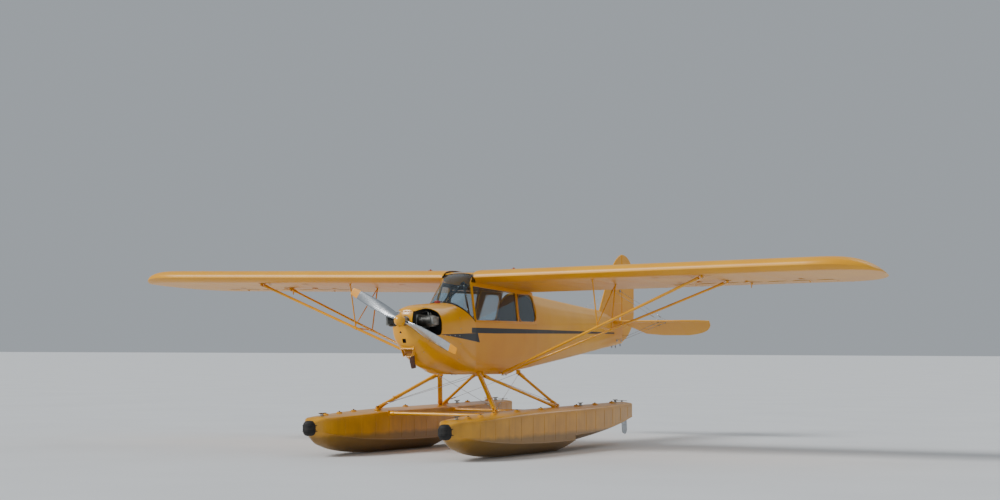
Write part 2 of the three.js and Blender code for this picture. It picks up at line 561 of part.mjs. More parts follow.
// Columns: radius, chord, thickness, blade angle in degrees.
const BLADE = [
  [30, 62, 46, 50], [120, 92, 34, 42], [260, 122, 23, 32], [420, 132, 17, 25],
  [600, 124, 12, 19.5], [740, 106, 9, 16.5], [PROP_RADIUS - 28, 92, 7, 15], [PROP_RADIUS - 7, 82, 6, 15],
  [PROP_RADIUS, 60, 4, 15],
];
function blade(side) {
  const rings = BLADE.map(([radius, chord, thick, angle]) => Array.from({ length: 14 }, (_, k) => {
    const t = (k / 14) * Math.PI * 2;
    const point = V(0, Math.sin(t) * (1 + 0.3 * Math.cos(t)) * thick / 2, Math.cos(t) * chord / 2);
    point.applyAxisAngle(V(1, 0, 0), degToRad(angle) * side);
    point.x = radius * side;
    return point;
  }));
  return toSolid(loft(rings, ['y', 'z']));
}
const toPropPlane = (solid) => {
  const geometry = toGeometry(solid);
  geometry.rotateY(-PROP_ANGLE);
  geometry.translate(HUB.x, HUB.y, HUB.z);
  return geometry;
};
addNode('propeller', toPropPlane(join([
  blade(1), blade(-1), rodSolid(V(0, -HUB_REACH, 0), V(0, 100, 0), 54, 20),
])), BARE_METAL, 0.25, 0.9);
// The spinner is a skull cap bolted to the hub's front face. Columns: radius, distance from its tip.
const SPINNER_LENGTH = 84;
const spinnerProfile = [
  [0, 0], [22, 5], [42, 17], [58, 35], [69, 58], [72, 74], [72, SPINNER_LENGTH], [0, SPINNER_LENGTH],
].map(([r, y]) => new THREE.Vector2(r, y));
const spinner = new THREE.LatheGeometry(spinnerProfile, 20);
spinner.translate(HUB.x, HUB.y - HUB_REACH - GAP - SPINNER_LENGTH, HUB.z);
addNode('spinner', toSolid(spinner), YELLOW, 0.35);

// Wings and ailerons
// The tip's leading and trailing edges curve in to its outermost point.
const TIP_STEPS = 6;
const tipRows = Array.from({ length: TIP_STEPS }, (_, k) => {
  const s = Math.sin(((k + 1) / TIP_STEPS) * Math.PI / 2 * 0.985);
  const x = STRAIGHT_X + (SPAN_HALF - STRAIGHT_X) * s;
  const lead = TIP_STATION * (1 - Math.sqrt(1 - s ** 2));
  const trail = CHORD - (CHORD - TIP_STATION - 120) * (1 - Math.sqrt(1 - s ** 2.4));
  return [x, lead, trail - lead, 1 - 0.86 * s ** 4];
});
const wingBody = toSolid(loft([
  wingRing(ROOT_X, 0, CHORD), wingRing(STRAIGHT_X, 0, CHORD), ...tipRows.map((row) => wingRing(...row)),
], ['y', 'z']));
const aileronAxis = (x) => V(x, AILERON.hinge, wingUnder(x, AILERON.hinge) + AILERON.nose + 1);
const coveFront = AILERON.hinge - AILERON.nose - AILERON.clearance;
const cove = boxSolid([AILERON.inner, AILERON.outer], [coveFront, CHORD + 100], [1800, 2600]);
addPair('wing', wingBody.subtract(cove), YELLOW, 0.5);
function aileronRing(x) {
  const axis = aileronAxis(x);
  const nose = Array.from({ length: 7 }, (_, k) => {
    const t = Math.PI / 2 + (k / 6) * Math.PI;
    return V(x, axis.y + Math.cos(t) * AILERON.nose, axis.z + Math.sin(t) * AILERON.nose);
  });
  const trail = CHORD - 4;
  return [...nose, V(x, trail, wingUnder(x, trail) + 1), V(x, trail, wingUnder(x, trail) + 5)];
}
addPair('aileron', toSolid(loft([
  aileronRing(AILERON.inner + 8), aileronRing(AILERON.outer - 8)], ['y', 'z'])), YELLOW, 0.5);

// Lift struts with their jury struts, cut off just under the wing
const underWing = toSolid(loft([-600, 2400].map((y) => [
  V(0, y, wingUnder(0, y) - GAP), V(7000, y, wingUnder(7000, y) - GAP), V(7000, y, 3400), V(0, y, 3400),
])));
const STRUT_FOOT = { x: 372, z: 992 };
const STRUT_HEAD_X = 3250;
const frontFoot = V(STRUT_FOOT.x, 520, STRUT_FOOT.z);
const rearFoot = V(STRUT_FOOT.x, 604, STRUT_FOOT.z);
const frontHead = V(STRUT_HEAD_X, FRONT_SPAR, wingUnder(STRUT_HEAD_X, FRONT_SPAR) + 10);
const rearHead = V(STRUT_HEAD_X + 40, REAR_SPAR, wingUnder(STRUT_HEAD_X + 40, REAR_SPAR) + 10);
const footLug = (foot) => boxSolid(
  [300, foot.x + 10], [foot.y - 22, foot.y + 22], [foot.z - 14, foot.z + 14]);
const JURY_X = 1795;
const JURY = { radius: 9, brace: 7 };
const alongStrut = (a, b, x) => a.clone().lerp(b, (x - a.x) / (b.x - a.x));
const juryFront = alongStrut(frontFoot, frontHead, JURY_X);
const juryRear = alongStrut(rearFoot, rearHead, JURY_X);
addPair('lift_struts', join([
  strutSolid(frontFoot, frontHead, 74, 32), strutSolid(rearFoot, rearHead, 62, 28),
  footLug(frontFoot), footLug(rearFoot),
  boxSolid([STRUT_FOOT.x - 12, STRUT_FOOT.x + 16], [500, 624], [STRUT_FOOT.z - 12, STRUT_FOOT.z + 12]),
  rodSolid(juryFront, V(JURY_X, FRONT_SPAR, 2260), JURY.radius),
  rodSolid(juryRear, V(JURY_X, REAR_SPAR - 70, 2260), JURY.radius),
  rodSolid(juryFront, juryRear, JURY.radius),
  rodSolid(juryFront.clone().add(V(0, 0, 40)), V(JURY_X, REAR_SPAR - 78, 2200), JURY.brace),
]).subtract(underWing).subtract(lowerTool), YELLOW, 0.4);

// Fin and rudder
const FIN_THICK = 34;
const curvePoints = (curve, steps) => curve.getPoints(steps).map((p) => [p.x, p.y]);
const finLead = new THREE.CubicBezierCurve(new THREE.Vector2(4150, 1790), new THREE.Vector2(4420, 2200),
  new THREE.Vector2(4620, 2640), new THREE.Vector2(STERN_POST, 2752));
const finOutline = [
  ...curvePoints(finLead, 10), [STERN_POST, 1800], [HINGE_NOTCH, 1800], [HINGE_NOTCH, 1700],
];
// An outline drawn in towards its middle by that much.
function drawnIn(outline, shrink) {
  const middle = [0, 1].map((i) => outline.reduce((sum, p) => sum + p[i] / outline.length, 0));
  return outline.map((p) => {
    const away = Math.hypot(p[0] - middle[0], p[1] - middle[1]);
    return middle.map((m, i) => m + ((p[i] - m) * (away - shrink)) / away);
  });
}
// Plates have thinned edges: the outline's middle face and two smaller outer faces.
function roundedPlate(outline, thick, edge, shrink) {
  const pulled = drawnIn(outline, shrink);
  const ring = (points, x) => points.map(([y, z]) => V(x, y, z));
  return toSolid(loft([ring(pulled, -thick / 2), ring(outline, -edge / 2), ring(outline, edge / 2),
    ring(pulled, thick / 2)], ['y', 'z']));
}
addNode('fin', roundedPlate(finOutline, FIN_THICK, 16, 10).subtract(rearTool), YELLOW, 0.55);

const rudderNose = { radius: 17, top: 2752, bottom: 1412 };
const rudderTop = new THREE.CubicBezierCurve(new THREE.Vector2(RUDDER_HINGE - 16, rudderNose.top),
  new THREE.Vector2(5190, 2770), new THREE.Vector2(TAIL_END - 10, 2640), new THREE.Vector2(TAIL_END, 2330));
const rudderFoot = new THREE.CubicBezierCurve(new THREE.Vector2(TAIL_END, 1850),
  new THREE.Vector2(TAIL_END - 12, 1640), new THREE.Vector2(5240, 1480),
  new THREE.Vector2(RUDDER_HINGE - 16, rudderNose.bottom));
const rudderOutline = [...curvePoints(rudderTop, 8), ...curvePoints(rudderFoot, 8)];
addNode('rudder', roundedPlate(rudderOutline, FIN_THICK, 10, 9), YELLOW, 0.55);

// Tailplane, elevators and bracing
const STAB = { lead: 4500, trail: ELEVATOR_HINGE.station - 31, thick: 32, height: ELEVATOR_HINGE.height };
const stabLead = new THREE.CubicBezierCurve(new THREE.Vector2(1060, 4560), new THREE.Vector2(1290, 4600),
  new THREE.Vector2(1425, 4720), new THREE.Vector2(1452, STAB.trail));
const stabOutline = [[20, STAB.lead], ...curvePoints(stabLead, 6), [20, STAB.trail]];
// A flat outline seen from above, given as [x, station] points, thinned at its edges.
function levelPlate(outline, height, thick, edge, shrink) {
  const pulled = drawnIn(outline, shrink);
  const ring = (points, z) => points.map(([x, y]) => V(x, y, height + z));
  return toSolid(loft([ring(pulled, -thick / 2), ring(outline, -edge / 2), ring(outline, edge / 2),
    ring(pulled, thick / 2)], ['x', 'y']));
}
const finTool = boxSolid([-FIN_THICK / 2 - GAP, FIN_THICK / 2 + GAP], [4100, 5100], [1600, 2700]);
addPair('stabilizer', levelPlate(stabOutline, STAB.height, STAB.thick, 12, 8).subtract(rearTool)
  .subtract(finTool), YELLOW, 0.55);

const ELEVATOR = { inner: 46, noseRadius: 15, half: 1458, trail: 5382, cutInner: 292 };
const elevatorTip = new THREE.CubicBezierCurve(new THREE.Vector2(ELEVATOR.half, ELEVATOR_HINGE.station - 14),
  new THREE.Vector2(1440, 5180), new THREE.Vector2(1290, 5330), new THREE.Vector2(980, ELEVATOR.trail));
const elevatorOutline = [
  [ELEVATOR.inner, ELEVATOR_HINGE.station - 14], ...curvePoints(elevatorTip, 7), [560, ELEVATOR.trail],
  [ELEVATOR.cutInner, 5330], [ELEVATOR.inner, 5010],
];
const elevatorPort = levelPlate(elevatorOutline, ELEVATOR_HINGE.height, 28, 10, 8);
const elevatorPortGeometry = toGeometry(elevatorPort);
const hingeLine = (x) => V(x, ELEVATOR_HINGE.station, ELEVATOR_HINGE.height);
const elevators = join([
  elevatorPort, toSolid(mirrored(elevatorPortGeometry)), rodSolid(hingeLine(-80), hingeLine(80), 11, 12),
]);
const elevatorGeometry = toGeometry(elevators);
elevatorGeometry.translate(0, -ELEVATOR_HINGE.station, -ELEVATOR_HINGE.height);
elevatorGeometry.rotateX(-ELEVATOR_DROOP);
elevatorGeometry.translate(0, ELEVATOR_HINGE.station, ELEVATOR_HINGE.height);
addNode('elevators', elevatorGeometry, YELLOW, 0.55);

const torqueNotch = boxSolid([-200, 200], [HINGE_NOTCH, STERN_POST + 60], [1690, 1800]);
addNode('fuselage_rear', bodyLoft(REAR_RINGS).subtract(torqueNotch), YELLOW, 0.55);

const WIRE = 4;
const wireBolt = { x: 760, station: STAB.trail + 5 };
const stabTop = STAB.height + STAB.thick / 2 + 5;
const stabLow = STAB.height - STAB.thick / 2 - 5;
const finHold = V(FIN_THICK / 2 + 5, 4640, 2190);
const finHoldRear = V(FIN_THICK / 2 + 5, wireBolt.station, 2190);
const sternHold = V(66, 4700, 1440);
const sternHoldRear = V(34, wireBolt.station, 1440);
const wireFront = 4650;
addPair('tail_wires', join([
  rodSolid(finHold, V(wireBolt.x, wireFront, stabTop), WIRE, 6),
  rodSolid(finHoldRear, V(wireBolt.x, wireBolt.station, stabTop), WIRE, 6),
  rodSolid(finHold, finHoldRear, WIRE, 6),
  rodSolid(V(wireBolt.x, wireBolt.station, stabLow - 4), V(wireBolt.x, wireBolt.station, stabTop + 4),
    WIRE, 6),
  rodSolid(V(wireBolt.x, wireFront - 8, stabTop), V(wireBolt.x, wireBolt.station, stabTop), WIRE, 6),
  rodSolid(V(wireBolt.x, wireFront - 8, stabLow), V(wireBolt.x, wireBolt.station, stabLow), WIRE, 6),
  rodSolid(sternHold, V(wireBolt.x, wireFront, stabLow), WIRE, 6),
  rodSolid(sternHoldRear, V(wireBolt.x, wireBolt.station, stabLow), WIRE, 6),
  rodSolid(sternHold, sternHoldRear, WIRE, 6),
]).subtract(rearTool), BARE_METAL, 0.4, 0.8);

// Floats
// Columns: station, deck edge height, half beam, chine height, keel height.
const FLOAT_ROWS = [
  [-1912, 425, 62, 335, 268], [-1830, 455, 122, 300, 190], [-1620, 470, 196, 255, 108],
  [-1250, 486, 254, 206, 40], [-760, 508, 284, 172, 6], [-150, 524, FLOAT_BEAM_HALF, 150, 0],
  [STEP_STATION, 536, FLOAT_BEAM_HALF, 140, 0],
];
const AFTERBODY_ROWS = [
  [STEP_STATION, 536, FLOAT_BEAM_HALF, 205, 78], [1700, 546, 272, 238, 140],
  [2400, 556, 226, 300, 222], [2925, 564, 172, 376, 318],
];
const DECK_CROWN = 14;
const KEEL_HALF = 16;
function floatRing([station, deck, half, chine, keel], grow = 0) {
  const right = [
    [KEEL_HALF, keel - grow], [half + grow, chine - grow / 2],
    [half + grow, deck - 18], [half - 24, deck + grow],
  ];
  const left = right.map(([x, z]) => [-x, z]).reverse();
  return [...right, [0, deck + DECK_CROWN + grow], ...left].map(([x, z]) => V(x + FLOAT_X, station, z));
}
const floatBody = (grow) => toSolid(loft(FLOAT_ROWS.map((row) => floatRing(row, grow))))
  .add(toSolid(loft([[STEP_STATION - 20, ...AFTERBODY_ROWS[0].slice(1)], ...AFTERBODY_ROWS]
    .map((row) => floatRing(row, grow)))));
const floatTool = floatBody(GAP);
const deckAt = (station) => {
  const rows = [...FLOAT_ROWS, ...AFTERBODY_ROWS.slice(1)];
  const i = rows.findIndex((row) => row[0] >= station);
  const f = (station - rows[i - 1][0]) / (rows[i][0] - rows[i - 1][0]);
  return rows[i - 1][1] + (rows[i][1] - rows[i - 1][1]) * f;
};
// Deck hardware: hand-hole caps, cleats. Columns: station, offset from the float's middle, radius, height.
const CAPS = [
  [-1480, 60, 34, 20], [-1180, 60, 34, 20], [-860, 60, 34, 20], [-260, 60, 34, 20], [380, 60, 34, 20],
  [1420, 50, 34, 20], [2000, 40, 34, 20], [2560, 30, 34, 20],
];
const caps = CAPS.map(([y, dx, radius, height]) => {
  const z = deckAt(y);
  return rodSolid(V(FLOAT_X + dx, y, z - 10), V(FLOAT_X + dx, y, z + DECK_CROWN + height), radius, 10);
});
const cleats = [-1650, 1640, 2740].flatMap((y) => {
  const z = deckAt(y);
  return [
    boxSolid([FLOAT_X - 8, FLOAT_X + 8], [y - 22, y + 22], [z - 10, z + 44]),
    boxSolid([FLOAT_X - 9, FLOAT_X + 9], [y - 75, y + 75], [z + 36, z + 52]),
  ];
});
addPair('float', join([floatBody(0), ...caps, ...cleats]), YELLOW, 0.45, 0.2);

const BUMPER = { station: -1912, height: 345, half: 82, depth: 88, tall: 92 };
const bumper = new THREE.SphereGeometry(1, 16, 10);
bumper.scale(BUMPER.half, BUMPER.depth, BUMPER.tall);
bumper.translate(FLOAT_X, BUMPER.station, BUMPER.height);
addPair('bumper', toSolid(bumper).subtract(floatTool), RUBBER, 0.8);

// Float gear: on each side a front strut, a diagonal and a rear strut, and two bars across
const BODY_FRONT = V(322, 66, 968);
const BODY_REAR = V(322, 1080, 985);
const DECK_FRONT = V(FLOAT_X - 92, -540, 552);
const DECK_REAR = V(FLOAT_X - 84, 1085, 568);
const bodyLug = (p) => boxSolid([p.x - 70, p.x + 14], [p.y - 26, p.y + 26], [p.z - 16, p.z + 60]);
const deckLug = (p) => boxSolid([p.x - 16, p.x + 16], [p.y - 32, p.y + 32], [p.z - 60, p.z + 12]);
const GEAR_STEP = 46;
const offset = (p, dy) => p.clone().add(V(0, dy, 0));
const bellyTool = lowerTool.add(bootTool);
addPair('float_strut_front', join([
  strutSolid(offset(DECK_FRONT, 0), offset(BODY_FRONT, -GEAR_STEP), 84, 36),
  deckLug(DECK_FRONT), bodyLug(offset(BODY_FRONT, -GEAR_STEP)),
]).subtract(bellyTool).subtract(floatTool), YELLOW, 0.4);
addPair('float_strut_diagonal', join([
  strutSolid(offset(DECK_REAR, -GEAR_STEP), offset(BODY_FRONT, GEAR_STEP), 70, 32),
  deckLug(offset(DECK_REAR, -GEAR_STEP)), bodyLug(offset(BODY_FRONT, GEAR_STEP)),
]).subtract(bellyTool).subtract(floatTool), YELLOW, 0.4);
addPair('float_strut_rear', join([
  strutSolid(offset(DECK_REAR, GEAR_STEP), BODY_REAR, 70, 32),
  deckLug(offset(DECK_REAR, GEAR_STEP)), bodyLug(BODY_REAR),
]).subtract(bellyTool).subtract(floatTool), YELLOW, 0.4);
const SPREADER_X = FLOAT_X - FLOAT_BEAM_HALF + 10;
for (const [name, station] of [['front', -540], ['rear', 1085]]) {
  addNode(`spreader_${name}`, strutSolid(V(-SPREADER_X, station, 492), V(SPREADER_X, station, 492), 92, 40)
    .subtract(floatTool).subtract(toSolid(mirrored(toGeometry(floatTool)))), YELLOW, 0.4);
}

// Water rudders on the sterns
const WATER_HINGE = 2958;
const waterOutline = [
  [WATER_HINGE - 14, 590], [WATER_HINGE + 22, 590], [WATER_HINGE + 30, 420], [WATER_HINGE + 150, 380],
  [WATER_HINGE + 175, 170], [WATER_HINGE + 120, 120], [WATER_HINGE + 8, 150], [WATER_HINGE - 14, 330],
];
const waterBlade = sidePlate(waterOutline, [FLOAT_X - 5, FLOAT_X + 5]);
const waterPost = rodSolid(V(FLOAT_X, WATER_HINGE, 300), V(FLOAT_X, WATER_HINGE, 600), 14, 10);
addPair('water_rudder', waterBlade.add(waterPost), BARE_METAL, 0.4, 0.7);

export default aeroplane;
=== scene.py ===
# %% [markdown]
# # A two-seat floatplane, dressed in Blender
# The solid model already holds every size, joint and mount of the aeroplane. This lesson gives it
# its skin: doped fabric that sags between ribs, enamelled cowls, sheet-metal floats, glazing, an
# engine with real cooling fins, and a furnished cabin. Everything is in metres, in the solid
# model's own frame: +Z up, nose towards -Y, the aeroplane's own left (port) wing towards +X.
#
# First the frame is loaded, and the wing's leading edge is found in it, since stations are counted
# aft from there. The dressed aeroplane must not grow out of it.
# %% Load the frame
from math import cos, pi, radians, sin, sqrt, tan

import bmesh
import bpy
import numpy as np
from mathutils import Matrix, Vector
from mathutils.geometry import delaunay_2d_cdt


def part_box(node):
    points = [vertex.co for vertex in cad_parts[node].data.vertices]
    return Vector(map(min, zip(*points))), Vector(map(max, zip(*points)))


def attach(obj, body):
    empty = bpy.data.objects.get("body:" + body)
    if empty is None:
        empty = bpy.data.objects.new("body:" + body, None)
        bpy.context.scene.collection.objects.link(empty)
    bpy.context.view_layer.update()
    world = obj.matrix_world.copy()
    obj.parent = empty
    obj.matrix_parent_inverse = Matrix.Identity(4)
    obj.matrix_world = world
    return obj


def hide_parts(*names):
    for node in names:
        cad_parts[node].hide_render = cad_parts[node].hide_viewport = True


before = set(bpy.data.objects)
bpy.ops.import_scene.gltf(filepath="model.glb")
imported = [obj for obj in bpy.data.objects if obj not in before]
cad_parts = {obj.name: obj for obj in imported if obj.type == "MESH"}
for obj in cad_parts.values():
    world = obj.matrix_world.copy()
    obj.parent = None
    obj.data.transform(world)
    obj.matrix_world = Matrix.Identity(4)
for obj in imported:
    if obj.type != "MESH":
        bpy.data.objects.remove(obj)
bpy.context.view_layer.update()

MM = 0.001
LEADING_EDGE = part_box("wing_port")[0].y
print("wing leading edge at y =", round(LEADING_EDGE, 4), "m")


def at(station):
    """Frame y of a station, which is counted aft from the wing's leading edge."""
    return station + LEADING_EDGE


# %% [markdown]
# Colours are written as they look on a screen, as sRGB hex values, and turned to the linear values
# that a shader wants in one place. One small function adds a shader node: a socket takes a value or
# another node's output, and keywords set the node's own properties.
# %% Colour and node helpers
def linear(hex_colour):
    """sRGB hex colour to linear RGBA."""
    parts = [int(hex_colour[i:i + 2], 16) / 255 for i in (1, 3, 5)]
    return tuple(c / 12.92 if c <= 0.04045 else ((c + 0.055) / 1.055) ** 2.4 for c in parts) + (1.0,)


def node(tree, kind, sockets=None, **properties):
    """Adds one shader node and gives its outputs."""
    made = tree.nodes.new("ShaderNode" + kind)
    for key, value in properties.items():
        setattr(made, key, value)
    for key, value in (sockets or {}).items():
        if isinstance(value, bpy.types.NodeSocket):
            tree.links.new(value, made.inputs[key])
        else:
            made.inputs[key].default_value = value
    return made.outputs


def start_material(name, colour, roughness, **sockets):
    """(material, its node tree, the Principled shader's sockets, the object's own coordinates)."""
    material = bpy.data.materials.new(name)
    material.use_nodes = True
    shader = material.node_tree.nodes["Principled BSDF"].inputs
    shader["Base Color"].default_value = linear(colour)
    shader["Roughness"].default_value = roughness
    for key, value in sockets.items():
        shader[key.replace("_", " ").title().replace("Ior", "IOR")].default_value = value
    return material, material.node_tree, shader, node(material.node_tree, "TexCoord")


def grain(tree, place, size, detail=2.0, stretch=(1, 1, 1)):
    """A cloud of grains of about that size, in metres, as a height between 0 and 1."""
    scaled = node(tree, "Mapping", {"Vector": place["Object"], "Scale": [s / size for s in stretch]})
    return node(tree, "TexNoise", {"Vector": scaled[0], "Scale": 1.0, "Detail": detail})["Fac"]


def mottle(tree, place, size, first, second, stretch=(1, 1, 1)):
    """Two colours that drift into each other over patches of about that size."""
    cloud = grain(tree, place, size, 3.0, stretch)
    sharper = node(tree, "MapRange", {"Value": cloud, "From Min": 0.35, "From Max": 0.65})
    return node(tree, "Mix", {0: sharper[0], 6: linear(first), 7: linear(second)}, data_type="RGBA")[2]


def painted_over(tree, shader, colour, mask, paint):
    """Lays a paint colour over the colour so far, where the mask is 1."""
    mixed = node(tree, "Mix", {0: mask, 6: colour, 7: linear(paint)}, data_type="RGBA")[2]
    tree.links.new(mixed, shader["Base Color"])
    return mixed


def relief(tree, shader, height, distance, strength):
    """Bumps of about that height, in metres, in the shader's normal."""
    bump = node(tree, "Bump", {"Height": height, "Strength": strength, "Distance": distance})
    tree.links.new(bump[0], shader["Normal"])


def product(tree, *factors):
    """The factors multiplied; of masks, the part where every one of them is 1."""
    total, *rest = factors
    for factor in rest:
        total = node(tree, "Math", {0: total, 1: factor}, operation="MULTIPLY")[0]
    return total


def between(tree, value, low, high=1000.0):
    """A mask that is 1 where the value lies between low and high."""
    above = node(tree, "Math", {0: low, 1: value}, operation="LESS_THAN")[0]
    return product(tree, above, node(tree, "Math", {0: value, 1: high}, operation="LESS_THAN")[0])


# %% [markdown]
# A painted stripe could be a strip of mesh or an image. Here it is a mask worked out from the
# object's own coordinates, so that it runs on over every panel without a seam: a band along the
# window sill that thins towards the tail, and below its front end a spear that points forwards.
# %% The cheat line as a mask
# Heights are pairs: where the band starts to thin, and at its end.
STRIPE = {"front": -0.21, "thins_from": 0.4, "end": 4.6, "low": (1.505, 1.5386), "high": (1.573, 1.55956)}
SPEAR = {"tip": (-0.92, 1.482), "top": (-0.055, 1.506), "heel": (-0.002, 1.387)}


def line_height(tree, y, start, end):
    """Height of the straight line from start to end, each (station, height), at the y of a point."""
    slope = (end[1] - start[1]) / (end[0] - start[0])
    return node(tree, "Math", {0: y, 1: slope, 2: start[1] - slope * at(start[0])},
                operation="MULTIPLY_ADD")[0]


def stripe_mask(tree, place):
    """1 on the cheat line and its spear, 0 elsewhere."""
    _, y, z = node(tree, "SeparateXYZ", {0: place["Object"]})
    run = {"Value": y, "From Min": at(STRIPE["thins_from"]), "From Max": at(STRIPE["end"])}
    low, high = (node(tree, "MapRange", {**run, "To Min": here, "To Max": there})[0]
                 for here, there in (STRIPE["low"], STRIPE["high"]))
    band = product(tree, between(tree, z, low, high),
                   between(tree, y, at(STRIPE["front"]), at(STRIPE["end"])))
    under, over, behind = (line_height(tree, y, SPEAR[a], SPEAR[b]) for a, b in (
        ("tip", "heel"), ("tip", "top"), ("heel", "top")))
    spear = product(tree, between(tree, z, under, over), between(tree, z, 0.0, behind))
    return node(tree, "Math", {0: band, 1: spear}, operation="MAXIMUM")[0]


# %% [markdown]
# ## Doped polyester
# The wings, tail and fuselage are polyester cloth, shrunk tight over the frame and filled with
# coats of yellow butyrate dope. It reads as a satin skin, softer than metal enamel, with a faint
# weave and a colour that drifts a little from coat to coat. The weave has about 20 threads to the
# centimetre; it is drawn at 3 mm so that it can show at all. Inside the cabin the cloth is bare of
# yellow and darker, and faces that look towards the middle of the aeroplane are painted near black:
# partly that bare cloth and partly painted shade of the cabin's inside.
# %% Doped polyester
YELLOW, YELLOW_WARM = "#E8A400", "#E09A00"
# The second colour is near black: the cloth's bare inside, and painted shade inside the cabin.
STRIPE_BLACK, INSIDE_BARE_AND_SHADE = "#060709", "#141312"
WEAVE = 3 * MM
CABIN_END, CABIN_OUTSIDE = 1.65, 0.36
INWARD = -0.03  # a face looks inwards where its outward share is below this


def doped_polyester(name, striped):
    material, tree, shader, place = start_material(
        name, YELLOW, 0.42, ior=1.46, coat_weight=0.15, coat_roughness=0.25)
    colour = mottle(tree, place, 0.6, YELLOW, YELLOW_WARM)
    if striped:
        colour = painted_over(tree, shader, colour, stripe_mask(tree, place), STRIPE_BLACK)
    x, y, _ = node(tree, "SeparateXYZ", {0: place["Object"]})
    facing = node(tree, "SeparateXYZ", {0: place["Normal"]})
    # Faces in the cabin that look inwards get the near black: bare cloth and painted shade together.
    inside = product(tree, between(tree, x, -CABIN_OUTSIDE, CABIN_OUTSIDE),
                     between(tree, y, -1000.0, at(CABIN_END)),
                     between(tree, product(tree, x, facing[0]), -1000.0, INWARD))
    painted_over(tree, shader, colour, inside, INSIDE_BARE_AND_SHADE)
    threads = node(tree, "Mapping", {"Vector": place["Object"], "Scale": [1 / WEAVE] * 3})
    weave = node(tree, "TexWave", {"Vector": threads[0], "Scale": 1.0, "Distortion": 1.5})
    relief(tree, shader, weave["Fac"], 0.15 * MM, 0.4)
    return material


fabric = doped_polyester("doped_polyester_yellow", False)
striped_fabric = doped_polyester("doped_polyester_striped", True)

# %% [markdown]
# ## Enamelled aluminium
# Cowls, boot cowl, roof and spinner are thin aluminium sheet, beaten to shape and sprayed with
# enamel. Enamel is glossier than dope, with a fine orange-peel surface about 4 mm across. Near the
# engine the paint is soiled by oil: the dirt is laid by height and by a cloud of patches. Behind the
# cooling openings, where the surface looks towards the cowl's axis, the insides of the cowl and the
# boot cowl are painted near black: partly their bare dark inside and partly painted shade.
# %% Enamelled aluminium sheet
OIL_BROWN = "#6B4718"
COWL_AXIS_Z = 1.45
BEHIND_OPENINGS = -0.86


def enamelled_sheet(name, striped):
    material, tree, shader, place = start_material(
        name, YELLOW, 0.28, ior=1.48, coat_weight=0.35, coat_roughness=0.1)
    x, y, z = node(tree, "SeparateXYZ", {0: place["Object"]})
    low_down = node(tree, "MapRange", {"Value": z, "From Min": 1.20, "From Max": 1.00, "To Max": 0.4})
    patches = node(tree, "MapRange", {"Value": grain(tree, place, 0.12, 6.0, (1, 0.4, 1)),
                                      "From Min": 0.4, "From Max": 0.62})
    colour = painted_over(tree, shader, mottle(tree, place, 0.35, YELLOW, YELLOW_WARM),
                          product(tree, low_down[0], patches[0]), OIL_BROWN)
    if striped:
        colour = painted_over(tree, shader, colour, stripe_mask(tree, place), STRIPE_BLACK)
        # Behind the openings, faces that look towards the cowl's axis get the near black: bare inside and
        # painted shade.
        facing = node(tree, "SeparateXYZ", {0: place["Normal"]})
        over_axis = node(tree, "Math", {0: z, 1: COWL_AXIS_Z}, operation="SUBTRACT")[0]
        outward = node(tree, "Math", {0: over_axis, 1: facing[2], 2: product(tree, x, facing[0])},
                       operation="MULTIPLY_ADD")[0]
        inside = product(tree, between(tree, outward, -1000.0, INWARD), between(tree, y, at(BEHIND_OPENINGS)))
        painted_over(tree, shader, colour, inside, INSIDE_BARE_AND_SHADE)
    relief(tree, shader, grain(tree, place, 4 * MM), 0.08 * MM, 0.3)
    return material


cowl_enamel = enamelled_sheet("enamelled_aluminium_cowl", True)
sheet_enamel = enamelled_sheet("enamelled_aluminium_plain", False)

# %% [markdown]
# The floats are riveted aluminium with the same yellow enamel, a little duller. Below their own
# waterline a brown film clings to the paint, and above it the paint carries faint darker vertical streaks.
# The streaks are a cloud squeezed along X and Y and stretched along Z.
# %% Float enamel with its waterline
WATERLINE = 0.25


def float_enamel():
    material, tree, shader, place = start_material(
        "float_enamel_weathered", YELLOW, 0.34, ior=1.5, coat_weight=0.35, coat_roughness=0.2)
    streaks = node(tree, "MapRange", {"Value": grain(tree, place, 0.05, 3.0, (1, 1, 0.08)),
                                      "From Min": 0.5, "From Max": 0.75, "To Max": 0.3})
    colour = painted_over(tree, shader, mottle(tree, place, 0.3, "#D4960A", "#C28808"), streaks[0], "#9A6E22")
    z = node(tree, "SeparateXYZ", {0: place["Object"]})[2]
    wavering = node(tree, "Math", {0: grain(tree, place, 0.12), 1: 0.05, 2: WATERLINE - 0.03},
                    operation="MULTIPLY_ADD")
    over_line = node(tree, "Math", {0: z, 1: wavering[0]}, operation="SUBTRACT")
    film = node(tree, "MapRange", {"Value": over_line[0], "From Min": 0.03, "From Max": -0.02, "To Max": 0.7})
    painted_over(tree, shader, colour, film[0], "#6A5326")
    relief(tree, shader, grain(tree, place, 5 * MM), 0.1 * MM, 0.3)
    return material


hull_enamel = float_enamel()

# %% [markdown]
# Struts and gear legs are steel tube under brushed-on enamel: the same yellow, glossier, with
# small chips down to the dark primer where ropes and shoes touch them.
# %% Enamelled steel tube
def enamelled_tube():
    material, tree, shader, place = start_material(
        "enamelled_steel_tube", YELLOW, 0.26, ior=1.48, coat_weight=0.35, coat_roughness=0.1)
    chips = between(tree, grain(tree, place, 12 * MM, 4.0), 0.7)
    painted_over(tree, shader, mottle(tree, place, 0.2, "#ECA800", "#DE9A00"), chips, "#5A3D1C")
    relief(tree, shader, grain(tree, place, 6 * MM, 2.0, (1, 1, 0.2)), 0.08 * MM, 0.25)
    return material


tube_enamel = enamelled_tube()

